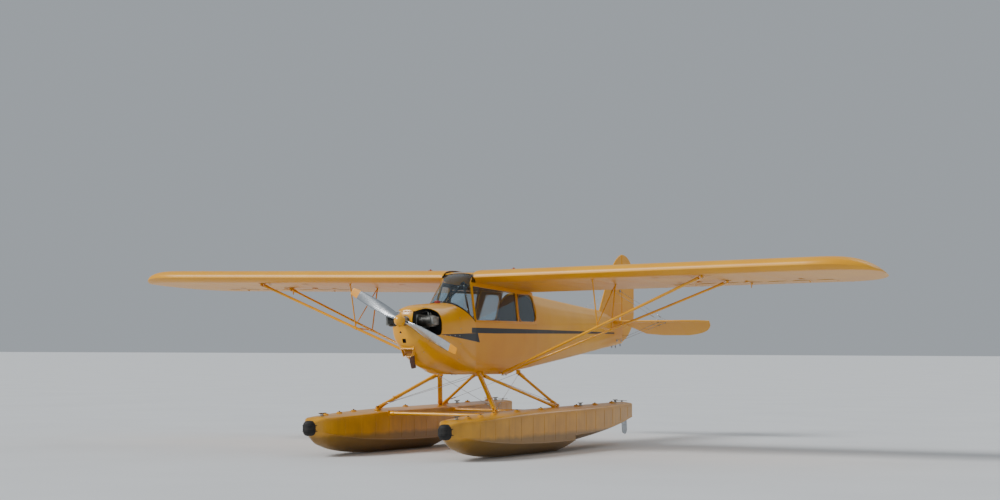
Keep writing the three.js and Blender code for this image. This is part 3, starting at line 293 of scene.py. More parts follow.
# %% [markdown]
# ## Clear acrylic sheet
# The windshield, windows and skylight are bent acrylic, a few millimetres thick: an index of 1.49,
# a faint blue cast, and a surface that is smooth but hazed here and there by wiping.
# %% Clear acrylic
def acrylic_sheet():
    material, tree, shader, place = start_material(
        "clear_acrylic_sheet", "#D5E4EC", 0.03, ior=1.49, transmission_weight=1.0)
    haze = node(tree, "MapRange", {"Value": grain(tree, place, 0.08, 4.0), "To Min": 0.015, "To Max": 0.07})
    tree.links.new(haze[0], shader["Roughness"])
    return material


acrylic = acrylic_sheet()

# %% [markdown]
# ## Metals of the engine and propeller
# Cast aluminium comes out of a sand mould with a dull, pitted skin; polished aluminium is the same
# metal with the skin ground away; exhaust steel turns brown and violet with heat. A metal's colour
# is its reflection, so the base colours are light, and the roughness does the rest.
# %% Metals
def plain_metal(name, first, second, roughness, patch, pit, depth, stretch=(1, 1, 1)):
    """A metal whose colour and surface vary over patches and pits of real sizes."""
    material, tree, shader, place = start_material(name, first, roughness, metallic=1.0)
    tree.links.new(mottle(tree, place, patch, first, second), shader["Base Color"])
    wear = node(tree, "MapRange", {"Value": grain(tree, place, patch * 0.5, 4.0),
                                   "To Min": roughness * 0.75, "To Max": min(1.0, roughness * 1.3)})
    tree.links.new(wear[0], shader["Roughness"])
    relief(tree, shader, grain(tree, place, pit, 2.0, stretch), depth, 0.5)
    return material


cast_aluminium = plain_metal("sand_cast_aluminium", "#9A9A96", "#7E7D78", 0.5, 0.05, 2 * MM, 0.2 * MM)
rolled_aluminium = plain_metal("rolled_aluminium_plate", "#B9BCBE", "#A3A6A9", 0.32, 0.08, 1.5 * MM,
                               0.05 * MM,
                               (1, 0.05, 1))
exhaust_steel = plain_metal("heat_tinted_exhaust_steel", "#7A5A48", "#5B4A4E", 0.55, 0.03, 3 * MM, 0.15 * MM)
stainless_wire = plain_metal("stainless_steel_wire", "#B7B9BA", "#8F9192", 0.3, 0.02, 1 * MM, 0.05 * MM)

# %% [markdown]
# The propeller is one aluminium forging. Its front is polished, the rear faces are flat black so
# that they don't glare into the cabin, and the tips carry a yellow safety band. The band is a mask of
# the distance from the shaft, and the black a mask of which way the face looks.
# %% Propeller finish
HUB = Vector((0, at(-1.312), 1.645))
PROP_RADIUS = 0.832
TIP_BAND = 0.11


def propeller_finish():
    material, tree, shader, place = start_material("polished_forged_aluminium", "#C9CCCE", 0.16, metallic=1.0)
    x, _, z = node(tree, "SeparateXYZ", {0: place["Object"]})
    flat = node(tree, "CombineXYZ", {0: x, 2: z})
    radius = node(tree, "VectorMath", {0: flat[0], 1: (0, 0, HUB.z)}, operation="DISTANCE")["Value"]
    tip = between(tree, radius, PROP_RADIUS - TIP_BAND)
    rear = between(tree, node(tree, "SeparateXYZ", {0: place["Normal"]})[1], 0.1)
    colour = painted_over(tree, shader, mottle(tree, place, 0.05, "#CDD0D2", "#BFC2C5"), rear, "#1A1B1C")
    painted_over(tree, shader, colour, tip, "#F0A010")
    paint = node(tree, "Math", {0: tip, 1: rear}, operation="MAXIMUM")[0]
    for socket, bare, painted in (("Metallic", 1.0, 0.0), ("Roughness", 0.15, 0.45)):
        blend = node(tree, "MapRange", {"Value": paint, "To Min": bare, "To Max": painted})
        tree.links.new(blend[0], shader[socket])
    relief(tree, shader, grain(tree, place, 8 * MM, 3.0), 0.05 * MM, 0.3)
    return material


blade_metal = propeller_finish()

# %% [markdown]
# ## Paints, rubber, cloth and wood of the small parts
# Each one is what it is on the aeroplane: black stove enamel on the cabin tubes, black crackle
# enamel on the baffles, moulded rubber bumpers, canvas seats woven from 1 mm yarn, a plywood floor
# with its grain along the cabin, and the red enamel of the fuel cap.
# %% Paints and soft materials
def surface(name, first, second, roughness, patch, pit, depth, stretch=(1, 1, 1), **sockets):
    """A non-metal whose colour drifts over patches and whose relief has grains of a real size."""
    material, tree, shader, place = start_material(name, first, roughness, **sockets)
    tree.links.new(mottle(tree, place, patch, first, second, stretch), shader["Base Color"])
    relief(tree, shader, grain(tree, place, pit, 3.0, stretch), depth, 0.6)
    return material


black_enamel = surface("black_stove_enamel", "#17181A", "#222325", 0.35, 0.06, 3 * MM, 0.08 * MM, ior=1.5)
crackle_black = surface("black_crackle_enamel", "#1A1A1B", "#252525", 0.6, 0.02, 2 * MM, 0.3 * MM, ior=1.5)
rubber = surface("moulded_black_rubber", "#141414", "#24211E", 0.75, 0.04, 4 * MM, 0.4 * MM, ior=1.52)
floor_ply = surface("varnished_plywood", "#6E4A2A", "#4E331C", 0.5, 0.03, 6 * MM, 0.2 * MM, (1, 0.05, 1),
                    coat_weight=0.2)
red_enamel = surface("red_enamel", "#A3301F", "#8A2A1C", 0.3, 0.02, 2 * MM, 0.1 * MM, coat_weight=0.5)
dial_white = surface("white_dial_paint", "#E9E6DA", "#DAD6C6", 0.5, 0.01, 1 * MM, 0.02 * MM)


def woven_canvas(name, first, second):
    """Seat canvas: crossed yarns 1 mm apart, drawn at 4 mm so that the render shows them."""
    material, tree, shader, place = start_material(name, first, 0.85, sheen_weight=0.3, sheen_roughness=0.5)
    yarns = node(tree, "Mapping", {"Vector": place["Object"], "Scale": [1 / (4 * MM)] * 3})
    warp, weft = (node(tree, "TexWave", {"Vector": yarns[0], "Scale": 1.0}, bands_direction=way)["Fac"]
                  for way in "XZ")
    tree.links.new(mottle(tree, place, 0.09, first, second), shader["Base Color"])
    relief(tree, shader, product(tree, warp, weft), 0.4 * MM, 0.6)
    return material


canvas = woven_canvas("woven_seat_canvas", "#5A4A36", "#4A3C2C")
webbing = woven_canvas("nylon_webbing", "#2F3136", "#25272B")
# The slot name of each finish; make_piece looks up each piece's slot here.
SLOTS = {
    "doped_fabric": (fabric, striped_fabric), "painted_aluminium": (cowl_enamel, sheet_enamel, hull_enamel),
    "painted_struts": (tube_enamel,), "acrylic": (acrylic,), "exhaust_steel": (exhaust_steel,),
    "bare_aluminium": (cast_aluminium, rolled_aluminium, blade_metal), "stainless_wire": (stainless_wire,),
    "dark_steel": (black_enamel, crackle_black, dial_white), "rubber": (rubber,), "canvas": (canvas, webbing),
    "red_cap": (red_enamel,),
}
print("materials made:", len(bpy.data.materials))

# %% [markdown]
# # The picture
# The camera stands ahead of the port wing, 1.3 m above the keels, looking 28.6 degrees round from
# straight ahead and slightly up. These values come from fitting a camera to points of the photo
# whose real places are known. The floor is plain and pale. Soft light comes mostly from high on the
# starboard front, as the sun does in the photo, so the port side of the body lies in gentle shade.
# %% Camera
CAMERA = {"place": (11.2319, -21.190, 1.3044), "azimuth": 0.49930, "pitch": 0.056263, "roll": 0.0033684}
FOCAL_PIXELS, PHOTO_WIDTH, SENSOR = 1759.14, 1000, 36.0


def camera_turn(azimuth, pitch, roll):
    """Rotation matrix of a camera that looks along azimuth (from +Y towards -X) and pitch."""
    forward = Vector((-sin(azimuth) * cos(pitch), cos(azimuth) * cos(pitch), sin(pitch)))
    right = forward.cross(Vector((0, 0, 1))).normalized()
    up = right.cross(forward)
    return Matrix((right * cos(roll) + up * sin(roll), up * cos(roll) - right * sin(roll),
                   -forward)).transposed()


def in_scene(name, data):
    """A new object of the scene that shows the data."""
    made = bpy.data.objects.new(name, data)
    bpy.context.scene.collection.objects.link(made)
    return made


camera = in_scene("camera", bpy.data.cameras.new("camera"))
camera.data.sensor_fit = "HORIZONTAL"
camera.data.sensor_width = SENSOR
camera.data.lens = FOCAL_PIXELS / PHOTO_WIDTH * SENSOR
camera.data.clip_end = 500
turn = camera_turn(CAMERA["azimuth"], CAMERA["pitch"], CAMERA["roll"]).to_4x4()
camera.matrix_world = Matrix.Translation(CAMERA["place"]) @ turn
bpy.context.scene.camera = camera
print("lens", round(camera.data.lens, 2), "mm")

# %% Floor and light
FLOOR_HALF = 400.0
FLOOR_SINK = -1 * MM
# Columns: name, direction it comes from, angle it spreads over in degrees, strength.
LIGHTS = [("key", (-12.0, -14.0, 16.0), 22, 2.9), ("fill", (17.0, -9.0, 7.0), 60, 0.2),
          ("rim", (6.0, 15.0, 12.0), 40, 0.5)]
floor_mesh = bpy.data.meshes.new("floor")
corners = [(x * FLOOR_HALF, y * FLOOR_HALF, FLOOR_SINK) for x, y in ((-1, -1), (1, -1), (1, 1), (-1, 1))]
floor_mesh.from_pydata(corners, [], [(0, 1, 2, 3)])
floor_mesh.materials.append(surface("matt_studio_floor", "#D3D5D6", "#CFD1D2", 0.9, 2.0, 0.05, 0.5 * MM))
floor = in_scene("floor", floor_mesh)

for name, place, spread, strength in LIGHTS:
    lamp = in_scene(name, bpy.data.lights.new(name, "SUN"))
    lamp.data.angle = radians(spread)
    lamp.data.energy = strength
    lamp.location = place
    lamp.rotation_euler = (-Vector(place)).to_track_quat("-Z", "Y").to_euler()

world = bpy.data.worlds.new("studio")
world.use_nodes = True
sky = world.node_tree.nodes["Background"].inputs
sky["Color"].default_value = linear("#D6DEE6")
sky["Strength"].default_value = 0.54
bpy.context.scene.world = world

# %% [markdown]
# # Finishes on the solids
# Every solid takes its finish. Flat and simple ones already have the right shape and stay as they
# are; the rest are replaced further down by pieces with more form.
# %% Dress the solids
# Each row is a finish and the words that start its solids' names; the first row that fits holds.
FINISHES = [
    (acrylic, "windshield", "skylight", "window", "door_window"),
    (striped_fabric, "side", "door_lower", "fuselage_rear"),
    (fabric, "door_upper", "belly", "wing", "aileron", "fin", "rudder", "stabilizer", "elevators"),
    (cowl_enamel, "boot_cowl", "nose_bowl", "engine_cowl"), (cast_aluminium, "engine"),
    (sheet_enamel, "intake_box", "cabin_roof", "spinner"), (exhaust_steel, "exhaust"),
    (black_enamel, "cabin_frame", "control_sticks", "seat_base"), (canvas, "seat"),
    (floor_ply, "cabin_floor"),
    (crackle_black, "instrument_panel"), (tube_enamel, "lift_struts", "float_strut", "spreader"),
    (hull_enamel, "float"), (rubber, "bumper"), (stainless_wire, "tail_wires"),
    (rolled_aluminium, "water_rudder"), (blade_metal, "propeller"), (red_enamel, "fuel_cap")]
for name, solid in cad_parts.items():
    finish = next(row[0] for row in FINISHES if name.startswith(row[1:]))
    solid.data.materials.clear()
    solid.data.materials.append(finish)
print("solids dressed:", len(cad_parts))

# %% [markdown]
# # Shapes
# A shape in progress is a pair: a list of points and a list of faces that name them. Small
# functions make such pairs (a skin through rings, a tube along a path, a turned body, a rounded
# block), join them, mirror them and cut them. Only `make_piece` turns one into an object of the
# scene, which then rides on a body of the solid model and stands in for some of its solids.
# %% Shape helpers
def joined(*parts):
    """Several shapes as one."""
    points, faces = [], []
    for more_points, more_faces in parts:
        base = len(points)
        points += [Vector(p) for p in more_points]
        faces += [tuple(i + base for i in face) for face in more_faces]
    return points, faces


def mirrored(part):
    """The same shape on the other side of the aeroplane."""
    points, faces = part
    return [Vector((-p[0], p[1], p[2])) for p in points], [tuple(reversed(face)) for face in faces]


def even(start, end, count):
    """count numbers from start to end, evenly spaced."""
    return [start + (end - start) * i / (count - 1) for i in range(count)]


def circle(sides):
    """Angles evenly spread round a circle."""
    return [2 * pi * k / sides for k in range(sides)]


def square_to(axis):
    """Two directions at right angles to the axis and to each other."""
    side = axis.cross(Vector((0, 0, 1)) if abs(axis.z) < 0.9 else Vector((0, 1, 0))).normalized()
    return side, axis.cross(side)


def P(x, station, z):
    """A point from its distance to port, its station and its height, in metres."""
    return Vector((x, at(station), z))


def skin(rings):
    """Faces from ring to ring, and one over either end; all rings have as many points."""
    count, faces = len(rings[0]), []
    for base in range(0, (len(rings) - 1) * count, count):
        for k in range(count):
            a, b = base + k, base + (k + 1) % count
            faces.append((a, b, b + count, a + count))
    faces += [tuple(range(count))[::-1], tuple(range((len(rings) - 1) * count, len(rings) * count))]
    return [Vector(p) for ring in rings for p in ring], faces


def tube(path, radius, sides=10, flatten=1.0, up=None):
    """A round tube along a path of points; radius may be one number or one for each point."""
    path = [Vector(p) for p in path]
    radii = radius if isinstance(radius, list) else [radius] * len(path)
    start = (path[1] - path[0]).normalized()
    side = start.cross(up).normalized() if up else square_to(start)[0]
    rings = []
    for before, here, after, size in zip(path[:1] + path, path, path[1:] + path[-1:], radii):
        along = (after - before).normalized()
        side = (side - along * side.dot(along)).normalized()
        over = along.cross(side) * flatten
        rings.append([here + (side * cos(t) + over * sin(t)) * size for t in circle(sides)])
    return skin(rings)


def turned(profile, centre, axis, sides=24):
    """A turned body: (distance along the axis, radius) pairs about a centre."""
    axis = Vector(axis).normalized()
    side, over = square_to(axis)
    return skin([[Vector(centre) + axis * far + (side * cos(t) + over * sin(t)) * max(radius, 1e-5)
                  for t in circle(sides)] for far, radius in profile])


def block(low, high, rounding=0.0, steps=2):
    """A box between two corners, its edges rounded."""
    low, high = Vector(low), Vector(high)
    shape = bmesh.new()
    bmesh.ops.create_cube(shape, size=1.0)
    bmesh.ops.scale(shape, vec=high - low, verts=shape.verts)
    bmesh.ops.translate(shape, vec=(low + high) / 2, verts=shape.verts)
    if rounding:
        bmesh.ops.bevel(shape, geom=shape.edges[:], offset=rounding, segments=steps, profile=0.5,
                        affect="EDGES")
    part = [v.co.copy() for v in shape.verts], [tuple(v.index for v in f.verts) for f in shape.faces]
    shape.free()
    return part


def pad(point, low, high, rounding, steps=2):
    """A rounded box beside or round a point, from one offset to another."""
    return block(point + Vector(low), point + Vector(high), rounding, steps)


def aft_and_side(along):
    """The directions of a streamlined tube's chord, as near to fore and aft as can be, and thickness."""
    aft = (Vector((0, 1, 0)) - along * along.y).normalized()
    return aft, along.cross(aft)


def strut(start, end, chord, thick, sides=20, steps=1):
    """A streamlined tube."""
    aft, side = aft_and_side((end - start).normalized())
    ring = [(cos(t) * chord / 2, sin(t) * (1 - 0.35 * cos(t)) * thick / 2) for t in circle(sides)]
    return skin([[start.lerp(end, i / steps) + aft * a + side * b for a, b in ring]
                 for i in range(steps + 1)])


def plate(outline, low, high, axis=0):
    """A flat plate: its outline in the two other axes, and its two faces along the axis."""
    return skin([[Vector((*pair[:axis], depth, *pair[axis:])) for pair in outline] for depth in (low, high)])


def side_plate(outline, low, high):
    """A plate that lies fore and aft, from an outline of (station, height)."""
    return plate([(at(s), z) for s, z in outline], low, high)


def as_object(name, part):
    """A mesh object of the shape, with its faces turned outwards."""
    mesh = bpy.data.meshes.new(name)
    mesh.from_pydata([tuple(p) for p in part[0]], [], part[1])
    shape = bmesh.new()
    shape.from_mesh(mesh)
    bmesh.ops.remove_doubles(shape, verts=shape.verts, dist=2e-6)
    bmesh.ops.delete(shape, geom=[v for v in shape.verts if not v.link_faces], context="VERTS")
    bmesh.ops.recalc_face_normals(shape, faces=shape.faces)
    shape.to_mesh(mesh)
    shape.free()
    return in_scene(name, mesh)


def combined(part, tools):
    """The shape less each of the tools, by exact booleans."""
    base = as_object("base", part)
    others = [as_object("tool", tool) for tool in tools]
    for other in others:
        step = base.modifiers.new("step", "BOOLEAN")
        step.operation, step.solver, step.object = "DIFFERENCE", "EXACT", other
    graph = bpy.context.evaluated_depsgraph_get()
    mesh = bpy.data.meshes.new_from_object(base.evaluated_get(graph))
    result = [v.co.copy() for v in mesh.vertices], [tuple(f.vertices) for f in mesh.polygons]
    for spent in (base, *others):
        bpy.data.objects.remove(spent)
    return result


PIECES = {}


def make_piece(name, part, material, body="airframe", instead_of=(), crease=32, slot=None):
    """A piece of the scene: smooth, sharp where it creases, riding on its body."""
    made = as_object(name, part)
    made.data.materials.append(material)
    made.data.shade_smooth()
    made.data.set_sharp_from_angle(angle=radians(crease))
    slot = slot or next(each for each, finishes in SLOTS.items() if material in finishes)
    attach(made, body)
    if instead_of:
        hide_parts(*instead_of)
    PIECES[name] = made


def make_pair(name, part, material, body=None, instead_of=None, crease=32):
    """The piece on both sides; body and instead_of are names without their side."""
    for side, half in (("port", part), ("starboard", mirrored(part))):
        make_piece(f"{name}_{side}", half, material, f"{body}_{side}" if body else "airframe",
                   [f"{instead_of}_{side}"] if instead_of else [], crease)


def resample(rows, stations):
    """Rows of numbers, the first of them the station, followed smoothly through other stations."""
    table = np.array(rows, float)
    xs = table[:, 0]
    slopes = np.gradient(table, xs, axis=0)
    made = []
    for s in stations:
        i = int(min(max(np.searchsorted(xs, s) - 1, 0), len(xs) - 2))
        run = xs[i + 1] - xs[i]
        t = (s - xs[i]) / run
        made.append(table[i] * (2 * t ** 3 - 3 * t ** 2 + 1) + slopes[i] * run * (t ** 3 - 2 * t ** 2 + t)
                    + table[i + 1] * (3 * t ** 2 - 2 * t ** 3) + slopes[i + 1] * run * (t ** 3 - t ** 2))
    return made


def rivets(places, radius=2.6 * MM, rise=1.1 * MM, sides=6):
    """Low domes at (point, outward direction) pairs."""
    parts = []
    for point, out in places:
        out = Vector(out).normalized()
        side, over = square_to(out)
        rim = [point - out * 0.3 * MM + (side * cos(t) + over * sin(t)) * radius for t in circle(sides)]
        faces = [(k, (k + 1) % sides, sides) for k in range(sides)] + [tuple(range(sides))[::-1]]
        parts.append((rim + [point + out * rise], faces))
    return joined(*parts)


print("helpers ready")

# %% [markdown]
# # Wings
# The wing keeps the solid model's section: a flat underside, a rounded nose and 11 % of thickness.
# What the solid can't show is the cloth. Between two ribs, 0.31 m apart, the shrunk fabric sinks a
# few millimetres, and over each rib a pinked tape makes a low ridge. Ahead of the front spar the
# nose is wrapped in sheet metal, so the sag starts behind it. The sag is part of the loft: each bay
# has a ring on both sides of its tape and five in between.
# %% The wing's section
CHORD, ROOT_X, STRAIGHT_X, SPAN_HALF = 1.6, 0.232, 4.62, 5.365
ROOT_Z = 2.155
NOSE_RISE, NOSE_RUN = 0.036, 0.09  # how far the nose's foot lifts, and over what part of the chord
TIP_STATION = 0.48
DIHEDRAL, INCIDENCE = radians(1.0), radians(3.0)
FRONT_SPAR, REAR_SPAR = 0.235, 0.98
AILERON_INNER, AILERON_OUTER, AILERON_HINGE, AILERON_NOSE, AILERON_GAP = 2.45, 4.56, 1.3, 0.036, 0.009
NOSE_WRAP = 0.16  # of the chord
WING_BAYS, AILERON_BAYS = 14, 7
UP = Vector((0, 0, 1))


def wing_under(x, station):
    """Height of the wing's underside."""
    return ROOT_Z + (abs(x) - ROOT_X) * tan(DIHEDRAL) - station * tan(INCIDENCE)


def upper_curve(f):
    """Height of the upper side over the underside's plane, in chords, at that part of the chord."""
    depth = 0.2969 * sqrt(f) - 0.126 * f - 0.3516 * f ** 2 + 0.2843 * f ** 3 - 0.1036 * f ** 4
    return NOSE_RISE * (1 - f) ** 8 + 1.1 * depth + 0.002 * f


def lower_curve(f):
    return NOSE_RISE * (1 - f / NOSE_RUN) ** 2 if f < NOSE_RUN else 0.0


def under_wing(x, station, drop=0.0):
    return P(x, station, wing_under(x, station) - drop)


def on_wing(x, f, lift=0.0):
    """A point over the upper skin, at that part of the chord."""
    return under_wing(x, f * CHORD, -upper_curve(f) * CHORD - lift)


def ramp(value, low, high):
    """A smooth rise from 0 at low to 1 at high."""
    t = min(max((value - low) / (high - low), 0.0), 1.0)
    return t * t * (3 - 2 * t)


def wing_section(x, lead=0.0, chord=CHORD, depth=1.0, sag=0.0, steps=34):
    """Points of one section, over the top and back along the underside."""
    def point(f, curve, sink):
        cloth = ramp(f, NOSE_WRAP - 0.04, NOSE_WRAP + 0.08) * (1 - ramp(f, 0.93, 1.0))
        return under_wing(x, lead + f * chord, -curve(f) * CHORD * depth - sink * cloth)
    spread = [(1 - cos(pi * k / steps)) / 2 for k in range(steps + 1)]
    top = [point(f, upper_curve, -sag) for f in spread]
    low = [point(f, lower_curve, sag * 0.6) for f in spread[1:-1]]
    return top + low[::-1]


def bay_places(start, end, bays, sag, tape=0.02, lift=0.7 * MM, edge=3 * MM, foot=0.2 * MM):
    """(x, sag) pairs: over each rib the tape lifts the surface, between the ribs the cloth sinks."""
    pitch = (end - start) / bays
    places = []
    for x in (start + bay * pitch for bay in range(bays)):
        places += [(x, -lift), (x + tape, -lift), (x + tape + edge, foot)]
        places += [(x + pitch * t, sag * sin(pi * t)) for t in (0.2, 0.35, 0.5, 0.65, 0.8)]
        places += [(x + pitch - tape - edge, foot), (x + pitch - tape, -lift)]
    return places + [(end, -lift)]


def wing_tip_rows(steps=18):
    """(x, leading edge, chord, share of the full depth) of the sections out to the tip."""
    rows = []
    for k in range(steps):
        s = sin((k + 1) / steps * pi / 2 * 0.985)
        lead = TIP_STATION * (1 - sqrt(1 - s * s))
        trail = CHORD - (CHORD - TIP_STATION - 0.12) * (1 - sqrt(1 - s ** 2.4))
        rows.append((STRAIGHT_X + (SPAN_HALF - STRAIGHT_X) * s, lead, trail - lead, 1 - 0.86 * s ** 4))
    return rows


# %% Wings with their coves
COVE_FRONT = AILERON_HINGE - AILERON_NOSE - AILERON_GAP
wing_rings = [wing_section(x, sag=sag) for x, sag in bay_places(ROOT_X, STRAIGHT_X, WING_BAYS, 5 * MM)]
wing_rings += [wing_section(*row) for row in wing_tip_rows()]
cove = block(P(AILERON_INNER, COVE_FRONT, 1.8), P(AILERON_OUTER, CHORD + 0.1, 2.6))
wing_shape = combined(skin(wing_rings), [cove])


def cove_lip(x):
    """The thin false spar's lips, which lie over and under the aileron's nose."""
    top, low, aft = on_wing(x, COVE_FRONT / CHORD), under_wing(x, COVE_FRONT), 12 * MM
    return [p + Vector((0, back, rise)) for p, back, rise in (
        (top, -4 * MM, 0.6 * MM), (top, aft, -2.4 * MM), (top, aft, -3.6 * MM), (low, -4 * MM, 3 * MM),
        (low, -4 * MM, -0.2 * MM))]


lips = skin([cove_lip(x) for x in even(AILERON_INNER + 1 * MM, AILERON_OUTER - 1 * MM, 12)])
inspection = [turned([(-1.2 * MM, 0.046), (0, 0.048), (1.0 * MM, 0.048), (1.2 * MM, 0.03)], under_wing(x, s),
                     UP, 28)
              for x, s in ((1.05, 0.36), (2.6, 0.36), (3.3, 0.33), (3.3, 0.9), (4.2, 1.1), (2.62, 1.1))]
pulleys = [pad(under_wing(x, s), (-0.02, -0.05, -9 * MM), (0.02, 0.05, 2 * MM), 4 * MM)
           for x, s in ((3.48, 1.16), (2.9, 1.02))]
TIE_DOWN_X = 3.12
tie_down = tube([P(TIE_DOWN_X + dx, FRONT_SPAR + 0.02, wing_under(TIE_DOWN_X - 0.02, FRONT_SPAR) + dz)
                 for dx,
                 dz in ((-0.018, 0.004), (-0.018, -0.012), (0, -0.024), (0.018, -0.012), (0.018, 0.004))],
                3 * MM, 8)

# %% Tank cover, filler cap and root strip
TANK_EDGE, TANK_FRONT, TANK_BACK = 0.96, 0.17, 0.58


def over_wing(x0, x1, fs, lift, sink):
    """A thin sheet that lies on the wing's upper skin, at those parts of the chord."""
    return skin([[on_wing(x, f, lift) for f in fs] + [on_wing(x, f, -sink) for f in fs[::-1]]
                 for x in (x0, x1)])


tank_sheet = over_wing(ROOT_X + 0.05, TANK_EDGE, even(TANK_FRONT, TANK_BACK, 14), 1.2 * MM, 1 * MM)
root_strip = over_wing(ROOT_X - 0.012, ROOT_X + 0.026, even(0.004, 0.99, 40), 1.6 * MM, 2 * MM)
filler_cap = turned([(-2 * MM, 0.036), (6 * MM, 0.036), (9 * MM, 0.033), (10 * MM, 0.012), (22 * MM, 0.010),
                     (24 * MM, 0.005)], on_wing(0.62, 0.36 / CHORD), UP, 24)
screws = [(x, f) for x in even(ROOT_X + 0.07, TANK_EDGE - 0.02, 12)
          for f in (TANK_FRONT + 0.015, TANK_BACK - 0.015)]
screws += [(x, f) for x in (ROOT_X + 0.065, TANK_EDGE - 0.015) for f in even(0.2, 0.55, 9)]
screw_heads = rivets([(on_wing(x, f, 1.2 * MM), UP) for x, f in screws], 3.5 * MM, 1.2 * MM)
brackets = [side_plate([(AILERON_HINGE + ds, wing_under(x, AILERON_HINGE) + dz) for ds, dz in (
    (-0.05, -0.004), (0.008, -0.010), (0.006, -0.022), (-0.02, -0.022))], x - 2 * MM, x + 2 * MM)
            for x in (2.75, 3.5, 4.25)]
make_pair("wing_skin", wing_shape, fabric, instead_of="wing", crease=40)
make_pair("wing_fittings", joined(*inspection, *pulleys, lips), sheet_enamel, crease=25)
make_pair("wing_metalwork", joined(tank_sheet, root_strip), sheet_enamel, crease=25)
make_pair("wing_screws", joined(screw_heads, tie_down), stainless_wire)
make_pair("tank_cap", filler_cap, red_enamel)
make_pair("aileron_brackets", joined(*brackets), tube_enamel)
print("wing skin:", len(wing_shape[1]), "faces; cove starts at station", round(COVE_FRONT, 3))

# %% [markdown]
# The ailerons are built like the wing. Their nose is a half round about the hinge line, flush with
# the wing above and below, and their ribs stand at the wing's own stations.
# %% Ailerons
AILERON_TRAIL = CHORD - 4 * MM
HORN_X = 3.48


def aileron_ring(x, sag):
    """One section: round the nose, aft along the underside, and forward over the top."""
    axis = under_wing(x, AILERON_HINGE, -AILERON_NOSE - 1 * MM)
    nose = [axis + Vector((0, cos(t), sin(t))) * AILERON_NOSE for t in even(pi / 2, 3 * pi / 2, 13)]

    def side(start, end_rise, sink):
        end_z = wing_under(x, AILERON_TRAIL) + end_rise
        return [P(x, AILERON_HINGE + (AILERON_TRAIL - AILERON_HINGE) * f,
                  start.z * (1 - f) + end_z * f + sink * sin(pi * f) ** 0.5) for f in even(0.0, 1.0, 13)[1:]]
    return nose + side(nose[-1], 1 * MM, sag * 0.6) + side(nose[0], 5 * MM, -sag)[::-1]


aileron_shape = skin([aileron_ring(x, sag) for x, sag in bay_places(
    AILERON_INNER + 8 * MM, AILERON_OUTER - 8 * MM, AILERON_BAYS, 3 * MM, tape=0.014)])
aileron_horn = side_plate([(AILERON_HINGE + ds, wing_under(HORN_X, AILERON_HINGE) + dz) for ds, dz in (
    (-0.01, 4 * MM), (0.05, 2 * MM), (0.012, -0.07), (-0.002, -0.07))], HORN_X - 2 * MM, HORN_X + 2 * MM)
make_pair("aileron_skin", aileron_shape, fabric, "aileron", "aileron", 40)
make_pair("aileron_horn", aileron_horn, tube_enamel, "aileron")
print("aileron skin:", len(aileron_shape[1]), "faces")

# %% [markdown]
# # Tail surfaces
# Fin, rudder, tailplane and elevators are flat frames of steel tube under cloth, about 30 mm
# thick. The cloth lies on the round edge tube, on the ribs and on the hinge tube, and dips between
# them. One function makes all of them: it fills the outline with a grid of points, works out each
# point's distance from the edge and from the ribs, and gives the surface that much thickness.
# %% A framed surface
EDGE_TUBE = 11 * MM
RIB_TUBE = 12 * MM
RIB_FADE, CLOTH_RUN = 0.03, 0.09  # from the edge: where ribs reach their height, and the cloth its own
DIP = 0.7  # share of the cloth's rise over the edge tube that it loses between the ribs
EDGE_RINGS = (1 * MM, 3.5 * MM, 7.5 * MM, 12 * MM)


def bezier(p0, p1, p2, p3, steps):
    """Points of a cubic curve in the plane."""
    made = []
    for k in range(steps + 1):
        t = k / steps
        weights = (1 - t) ** 3, 3 * t * (1 - t) ** 2, 3 * t * t * (1 - t), t ** 3
        made.append(tuple(sum(w * p[i] for w, p in zip(weights, (p0, p1, p2, p3))) for i in (0, 1)))
    return made


def along_outline(outline, pitch):
    """The closed outline again, with points no further apart than the pitch."""
    made = []
    for a, b in zip(outline, outline[1:] + outline[:1]):
        a, b = np.array(a), np.array(b)
        parts = max(1, int(np.ceil(np.linalg.norm(b - a) / pitch)))
        made += [tuple(a + (b - a) * k / parts) for k in range(parts)]
    return made


def distance_to(points, a, b):
    """Distances of many points from one line segment."""
    a, b = np.array(a, float), np.array(b, float)
    along = b - a
    t = np.clip(((points - a) @ along) / (along @ along), 0, 1)
    return np.linalg.norm(points - (a + t[:, None] * along), axis=1)


def from_edge(points, outline):
    """Distances of many points from the nearest side of the outline."""
    return np.min([distance_to(points, a, b) for a, b in zip(outline, outline[1:] + outline[:1])], axis=0)


def edge_rings(rim, outline):
    """Rows of points just inside the rim, so that the edge tube's round is even all the way."""
    here, after, before = np.array(rim), np.roll(rim, -1, axis=0), np.roll(rim, 1, axis=0)
    run = after - before
    turn_way = np.sign(np.sum(here[:, 0] * after[:, 1] - after[:, 0] * here[:, 1]))
    inward = turn_way * np.column_stack([-run[:, 1], run[:, 0]]) / np.linalg.norm(run, axis=1)[:, None]
    rows = [(here + inward * depth, depth) for depth in EDGE_RINGS]
    return np.concatenate([row[from_edge(row, outline) > 0.9 * depth] for row, depth in rows])


def beside_rib(a, b, pitch):
    """Rows of points along a rib and beside it, so that its ridge is even too."""
    a, b = np.array(a), np.array(b)
    length = np.linalg.norm(b - a)
    along = (b - a) / length
    across = np.array((-along[1], along[0]))
    runs = np.arange(0, length, pitch)[:, None] * along
    return np.concatenate([a + runs + across * RIB_TUBE * step for step in (-2, -1, -0.5, 0, 0.5, 1, 2)])


